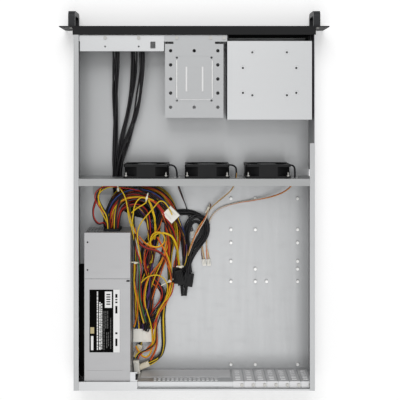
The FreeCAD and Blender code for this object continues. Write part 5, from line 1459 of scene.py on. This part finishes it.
LOOSE_CORDS: dict[str, Cord] = {
    "loop_left": Cord((
        (160.9, 52.8, 44), (163.6, 41.7, 46), (174.2, 47.9, 48), (184.3, 34.8, 50), (184.1, 18.1, 52),
        (177.2, -0.5, 54), (169.8, -19, 56), (162.4, -30.1, 58), (149.8, -31.9, 58), (135.4, -22.8, 58),
        (124.8, -6.2, 56), (117.8, 14.4, 52)),
        0.005, 0.174, (BROWN, RED, BLACK), loose=0.2),
    "loop_yellow": Cord((
        (154.5, 52.2, 56), (157.1, 44, 57), (162.4, 33.9, 58), (170.3, 19, 60), (174.1, 0.6, 62),
        (170.8, -17.8, 64), (161.7, -28.9, 66), (147.3, -30.8, 67), (134.7, -21.7, 67), (124.9, -7.1, 66),
        (120.6, 13.1, 64), (119.4, 31.7, 61), (114.9, 48.7, 56), (109.8, 70, 48), (109.6, 89.5, 40)),
        0.0022, 0.237, (YELLOW,)),
    "bow_yellow": Cord((
        (40, 28.2, 60), (48.9, 7.9, 62), (61.5, 0.5, 63), (70.5, 11.5, 62), (84.9, 28.2, 60), (97.6, 43, 58),
        (103.9, 61.7, 55), (102.5, 80.4, 52), (99.2, 99.7, 46), (97, 119.4, 38)),
        0.0022, 0.170, (YELLOW,)),
    "tied_yellow": Cord((
        (113.9, 50.4, 57), (110.9, 31.9, 59), (108.9, 11.5, 62), (100.9, -1.4, 64), (91, -5.2, 65),
        (83.8, 2.1, 65), (91.9, 9.5, 64), (103.7, 15.2, 62), (113.8, 24.7, 58)),
        0.0022, 0.110, (YELLOW,)),
    "drop_yellow": Cord((
        (83.2, 1, 58), (77.8, 11.9, 58), (73.8, 26.8, 56), (70.9, 43.7, 52), (70.3, 59.5, 44), (73.4, 75.3, 36)),
        0.005, 0.081, (YELLOW,) * 3, loose=0.1),
    "arch_yellow": Cord((
        (87.8, 89.5, 40), (81.1, 79.4, 46), (72.7, 65.8, 52), (61.8, 60, 54), (51, 61.8, 54), (40.2, 67.6, 52),
        (33, 82.8, 48), (29.6, 101.2, 36), (29.1, 116.1, 24), (27.2, 130.5, 16)),
        0.0044, 0.140, (YELLOW, YELLOW), plug="power_plug_housing", columns=2, pitch=0.0025, loose=0.1),
    "cross_orange": Cord((
        (51.2, 77.6, 46), (52, 92, 48), (55.7, 108.6, 48), (65.7, 121.6, 47), (77.5, 134.8, 45),
        (85.8, 150.1, 42), (90.4, 169.3, 38), (92.7, 190.7, 33), (87.3, 211.8, 30), (80.7, 231, 27),
        (77.6, 254.1, 24), (77.1, 275.1, 22), (82.2, 291.9, 22), (92.3, 297.5, 22), (102.3, 286.3, 22),
        (108.1, 275.6, 20)),
        0.0044, 0.266, (ORANGE, YELLOW), loose=0.1),
    "fall_red": Cord((
        (67.4, 70, 48), (60.1, 82.5, 50), (52.9, 97.2, 50), (45.8, 116.3, 46), (42, 137.9, 38),
        (43.6, 161.6, 30), (50, 182.8, 26), (62.9, 203.7, 24), (70.7, 222.8, 22), (71.1, 245.7, 20),
        (68.7, 268.9, 17), (72.4, 288.1, 15), (81.7, 303.3, 14)),
        0.005, 0.251, (RED, ORANGE, YELLOW), loose=0.2),
    "arc_yellow": Cord((
        (96.6, 153.4, 44), (89.3, 144.8, 46), (78.3, 140, 47), (65.7, 138.9, 47), (54.9, 146.1, 44),
        (46.9, 162.3, 36), (51.7, 184.3, 28)),
        0.0022, 0.091, (YELLOW,)),
    "red_fan": Cord((
        (87.1, -5.8, 52), (74.4, 1.3, 55), (61.7, 15.8, 56), (50.9, 32.4, 55), (42, 51.3, 50), (35, 72.6, 42),
        (31.5, 94.4, 32)),
        0.006, 0.123, (RED, RED, RED, BLACK)),
    "left_orange": Cord((
        (109.3, 118.4, 44), (110.2, 140.9, 42), (108.1, 167.1, 40), (103.8, 193.8, 36), (104.6, 216.9, 32),
        (111.5, 238.5, 27)),
        0.0044, 0.123, (ORANGE, YELLOW), loose=0.1),
    "thin_right": Cord((
        (33, 27.2, 52), (26.7, 40.6, 48), (20.5, 61.8, 40), (15.1, 85.7, 28), (13.4, 108.1, 16),
        (18.1, 128.1, 8)),
        0.003, 0.113, (PURPLE, YELLOW), wire=0.0008),
    "left_dark": Cord((
        (111, 26.1, 46), (109.9, 51.8, 46), (108.1, 83.1, 46), (107.3, 111.4, 42), (109.7, 137.9, 38),
        (110, 168.3, 34), (109.1, 198.8, 30), (108, 229.8, 24)),
        0.006, 0.205, (BLACK, BROWN, BLACK, YELLOW)),
    "purple_fan": Cord((
        (77.1, 120.1, 34), (80.8, 146, 34), (82.6, 172.2, 33), (85.5, 198.8, 30), (91.2, 219.9, 27),
        (95.9, 241, 24)),
        0.006, 0.123, (PURPLE, BLACK, BLACK, PURPLE)),
    "outer_dark": Cord((
        (162.3, 53.3, 40), (162.7, 37.1, 46), (155.8, 16.2, 52), (142.7, -2.6, 57), (120.9, -14.7, 60),
        (93.9, -16.6, 60), (70.6, -10, 58), (51, 8.7, 54), (34.8, 31.4, 48), (24.1, 56.3, 40), (16.9, 82, 28),
        (18.9, 108.4, 14)),
        0.009, 0.281, (BLACK, BLACK, BROWN, BLACK, BLUE, BLACK), loose=0.2),
    "arch_mid": Cord((
        (156.1, 54, 38), (156.5, 35.5, 44), (146.9, 12.8, 50), (130.3, -2.3, 54), (106.8, -6.2, 56),
        (83.4, -1.5, 55), (65.5, 12.6, 52), (54.8, 33.3, 47), (47.7, 58, 41), (44.2, 82.7, 36),
        (46.2, 105.9, 30)),
        0.009, 0.235, (ORANGE, BROWN, YELLOW, RED, ORANGE, BLACK), loose=0.2),
    "arch_inner": Cord((
        (146.5, 54.8, 34), (145.2, 38.1, 38), (134.7, 18.9, 44), (116.4, 9.4, 47), (96.6, 13.4, 44),
        (85.8, 30.2, 42), (83.3, 52.8, 38), (80.9, 79.6, 32), (75.6, 102.8, 26), (81.3, 129.3, 23),
        (88.7, 155.6, 22)),
        0.009, 0.227, (BLACK, YELLOW, BROWN, ORANGE, BLACK, RED), loose=0.25),
    "dark_fill_a": Cord((
        (104.1, 8.3, 40), (97, 25.1, 38), (84.4, 44.1, 34), (75.5, 66.9, 30), (77.5, 93.5, 26),
        (86.7, 121.7, 24), (88.7, 148.2, 22), (83.2, 174.3, 22), (83.2, 200.4, 22), (88.7, 222.8, 22),
        (94.2, 243.4, 22)),
        0.012, 0.246, (BLACK, BLACK, BROWN, BLACK, BLACK, PURPLE, BLACK), loose=0.3),
    "dark_fill_b": Cord((
        (60.5, 24.9, 40), (66.1, 47.5, 36), (79, 72.2, 32), (92, 96.9, 28), (94, 121.4, 26), (79.4, 146, 24),
        (61.1, 166.8, 22), (57.5, 187.8, 20), (70.4, 208.3, 20), (83.3, 228.9, 20), (90.6, 247.6, 20)),
        0.012, 0.248, (BLACK, BLACK, RED, BLACK, BLACK, ORANGE, BLACK), loose=0.3),
    "knot_loop": Cord((
        (74.8, 94.5, 44), (80.1, 82.8, 48), (79.9, 69.4, 52), (72.6, 59.9, 55), (61.7, 58.8, 56),
        (52.7, 67.2, 55), (53.7, 80.4, 52), (63.7, 89, 50), (76.4, 88.2, 49), (91.1, 81.3, 46),
        (100.3, 68.7, 44)),
        0.0044, 0.130, (YELLOW, ORANGE), loose=0.1),
    "brown_swirl": Cord((
        (109.2, 51.8, 46), (106.4, 70.1, 47), (98.2, 82.8, 48), (85.5, 91, 49), (71, 93.6, 50),
        (58.3, 101.1, 49), (48.5, 116.4, 45), (42.3, 137.9, 38), (41.6, 159.7, 30), (47.3, 181.4, 24)),
        0.006, 0.165, (BROWN, RED, BROWN, ORANGE), loose=0.2),
    "left_mixed": Cord((
        (119.9, 14.8, 48), (116.3, 36.9, 48), (111, 61, 46), (105.6, 85.1, 45), (100.4, 109.5, 42),
        (97.9, 134.2, 38), (99.8, 158.6, 36), (101.7, 183.1, 34), (97.4, 207.8, 31), (92, 230.8, 28)),
        0.008, 0.220, (RED, BROWN, WHITE, GREEN, YELLOW), loose=0.3),
    "right_bundle": Cord((
        (40.8, 156.8, 26), (43.6, 175.8, 24), (53.8, 193, 22), (64.9, 210.2, 20), (71.3, 228.9, 20),
        (72.5, 251.1, 21), (74, 267.6, 22), (83.1, 280.4, 23), (95.9, 285.8, 24), (104.2, 289.5, 24),
        (106.4, 296.9, 24)),
        0.009, 0.163, (ORANGE, YELLOW, ORANGE, RED, BLACK, YELLOW), plug="drive_plug_housing", columns=3,
        pitch=0.003, loose=0.15),
    "lead_nest": Cord((
        (11.6, 124.4, 8), (12.5, 101.2, 12), (11.5, 78.1, 16), (9.7, 57.1, 19), (3.2, 44.7, 21),
        (-7.8, 43.4, 21), (-15.7, 53.3, 20), (-12.4, 68.5, 18), (-2.3, 83.7, 16), (6, 99, 14), (8.8, 114, 14),
        (10.1, 127.1, 14), (9.9, 140.4, 13.2)),
        0.007, 0.196, (BLACK,) * 5, wire=0.0015, plug="nest_plug_housing", columns=5, pitch=0.0023, loose=0.2),
    "fan_tails": Cord((
        (-30, 13, 12), (-27.2, 23.9, 15), (-22.5, 35.4, 21), (-14.2, 48.1, 24), (-6, 62.1, 24), (1.4, 77.3, 22),
        (7.3, 92.6, 19), (11.5, 108.2, 15)),
        0.005, 0.107, (PALE, BROWN, ORANGE, WHITE), wire=0.0008, loose=0.2),
    "black_hank": Cord((
        (9.7, 124.4, 8), (13.4, 101.3, 11), (17.4, 80.1, 15), (16.3, 57.4, 17), (6, 39.5, 18), (-10.6, 34, 18),
        (-24.2, 42.4, 17), (-28, 61.4, 15), (-19.9, 80.4, 13), (-6.9, 93.5, 13), (3.2, 108.4, 14),
        (8.8, 123.2, 15), (12.8, 138.2, 15), (15.2, 151.5, 14), (17.1, 163, 12.5)),
        0.009, 0.252, (BLACK,) * 5, wire=0.0015, plug="hank_plug_housing", columns=5, pitch=0.0028, loose=0.2),
    "black_front_a": Cord((
        (112, -276.65, 57), (112, -249.65, 57), (114, -211.65, 36), (121, -163.65, 18), (134, -111.65, 15),
        (141.5, -57.65, 16), (139, -15.65, 14), (122, 12.35, 10), (84, 29.35, 9), (44, 31.35, 9),
        (10, 29.35, 9), (-14, 38.35, 9), (-21, 58.35, 9), (-13, 80.35, 9), (2, 92.35, 8), (9, 106.35, 7),
        (9, 124.35, 6)),
        0.01, 0.536, (BLACK,) * 5, wire=0.0016, lay=Lay.THROUGH_WALL),
    "black_front_b": Cord((
        (95, -276.65, 57), (95, -249.65, 57), (97, -209.65, 40), (106, -161.65, 24), (123, -109.65, 20),
        (140, -57.65, 25), (137, -17.65, 20), (123, 6.35, 16), (98, 16.35, 14), (66, 18.35, 13)),
        0.011, 0.355, (BLACK,) * 6, wire=0.0016, lay=Lay.THROUGH_WALL),
    "black_front_c": Cord((
        (140, -276.65, 57), (140, -249.65, 57), (145, -209.65, 38), (147, -159.65, 20), (146, -105.65, 17),
        (148, -53.65, 21), (147, -9.65, 17), (134, 18.35, 12), (104, 33.35, 10), (64, 39.35, 10),
        (34, 50.35, 10), (21, 76.35, 9), (18, 108.35, 8), (16, 138.35, 6)),
        0.01, 0.498, (BLACK,) * 5, wire=0.0016, lay=Lay.THROUGH_WALL),
}

PLUGS: dict[str, Plug] = {
    "drive_plug_housing": Plug(Coat.NYLON, (
        Housing((0.1063, 0.3135, 0.0236), (0.0105, 0.024, 0.0095), 6, columns=3, latch=True),)),
    "power_plug_housing": Plug(Coat.BLACK_PLASTIC, (
        Housing((0.0265, 0.1495, 0.0148), (0.0136, 0.028, 0.008), 14, columns=5, rows=1, ribs=4),)),
    "hank_plug_housing": Plug(Coat.BLACK_PLASTIC, tuple(
        Housing((x, 0.1745, 0.0117), (0.0055, 0.019, 0.0065), turn, rows=1, ribs=2)
        for x, turn in ((0.0224, 4), (0.0156, -6)))),
    "nest_plug_housing": Plug(Coat.BLACK_PLASTIC, (
        Housing((0.0098, 0.1545, 0.013), (0.016, 0.024, 0.0065), -8, columns=5, rows=1, ribs=2),)),
    "atx_plug_housing": Plug(Coat.NYLON, (
        Housing((0.092, 0.25635, 0.015), (0.042, 0.024, 0.011), columns=12, latch=True),), "atx_plug"),
    "cpu_plugs_housing": Plug(Coat.CREAM, (
        Housing((0.09376, 0.31349, 0.013), (0.01, 0.021, 0.01), -67, latch=True),
        Housing((0.1051, 0.28763, 0.0068), (0.01, 0.024, 0.011), -20, latch=True)), "cpu_plugs"),
    "sata_plug_housing": Plug(Coat.BLACK_PLASTIC, (
        Housing((0.0335, 0.14735, 0.0058), (0.0136, 0.03, 0.008), columns=5, rows=1, ribs=4),), "sata_plug"),
    "molex_plug_housing": Plug(Coat.NYLON, (
        Housing((0.042, 0.02835, 0.052), (0.021, 0.024, 0.011), 45, columns=4, rows=1, ribs=2),), "molex_plug"),
    "usb_plug_housing": Plug(Coat.BLACK_PLASTIC, (
        Housing((0.011, 0.13035, 0.0055), (0.01, 0.026, 0.008), columns=5),), "usb_plug"),
    "switch_plugs_housing": Plug(Coat.BLACK_PLASTIC, tuple(
        Housing((x, 0.16235, 0.0042), (0.005, 0.016, 0.0056), rows=1) for x in (0.0172, 0.0228)), "switch_plugs"),
    **{f"fan_plug_{number}_housing": Plug(Coat.NYLON, (
        Housing(place, (0.007, 0.012, 0.006), turn, columns=3, rows=1, ribs=2),), "fan_plugs")
       for number, turn, place in ((1, 12, (0.00255, 0.0712, 0.0044)), (2, 10, (-0.01822, 0.12324, 0.0042)),
                                   (3, 8, (-0.02697, 0.12328, 0.0042)))},
}

TIES: tuple[Tie, ...] = (
    Tie((0.1372, -0.0192, 0.064), (1, 0.1, 0), 0.004, 0.012),
    Tie((0.0855, -0.0035, 0.0585), (1, -0.25, 0), 0.008, 0.006),
    Tie((0.1075, 0.117, 0.04), (0.1, 1, 0), 0.0045, 0.008),
    Tie((0.0445, 0.153, 0.026), (-0.5, 1, 0), 0.0055, 0.016),
    Tie((0.0253, 0.128, 0.0185), (0.05, 1, 0), 0.0052, 0.006),
    Tie((-0.0262, 0.0206, 0.01), (-1, 0.6, 0), 0.0035, 0.008),
)


def main() -> None:
    """Builds the case's looks in order."""
    logging.basicConfig(level=logging.INFO, format="%(message)s")
    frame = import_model()
    effects = Effects()
    effects.build()
    shop = Workshop(Palette(effects), frame)
    Studio().build()
    Enclosure(shop).build()
    Fans(shop).build()
    Supply(shop).build()
    Plugs(shop).build(PLUGS)
    Harness(shop).build(PACKED_CORDS, LOOSE_CORDS)
    Ties(shop).build(TIES)
    LOG.info("%d pieces", len(shop.pieces))


if __name__ == "__main__":
    main()
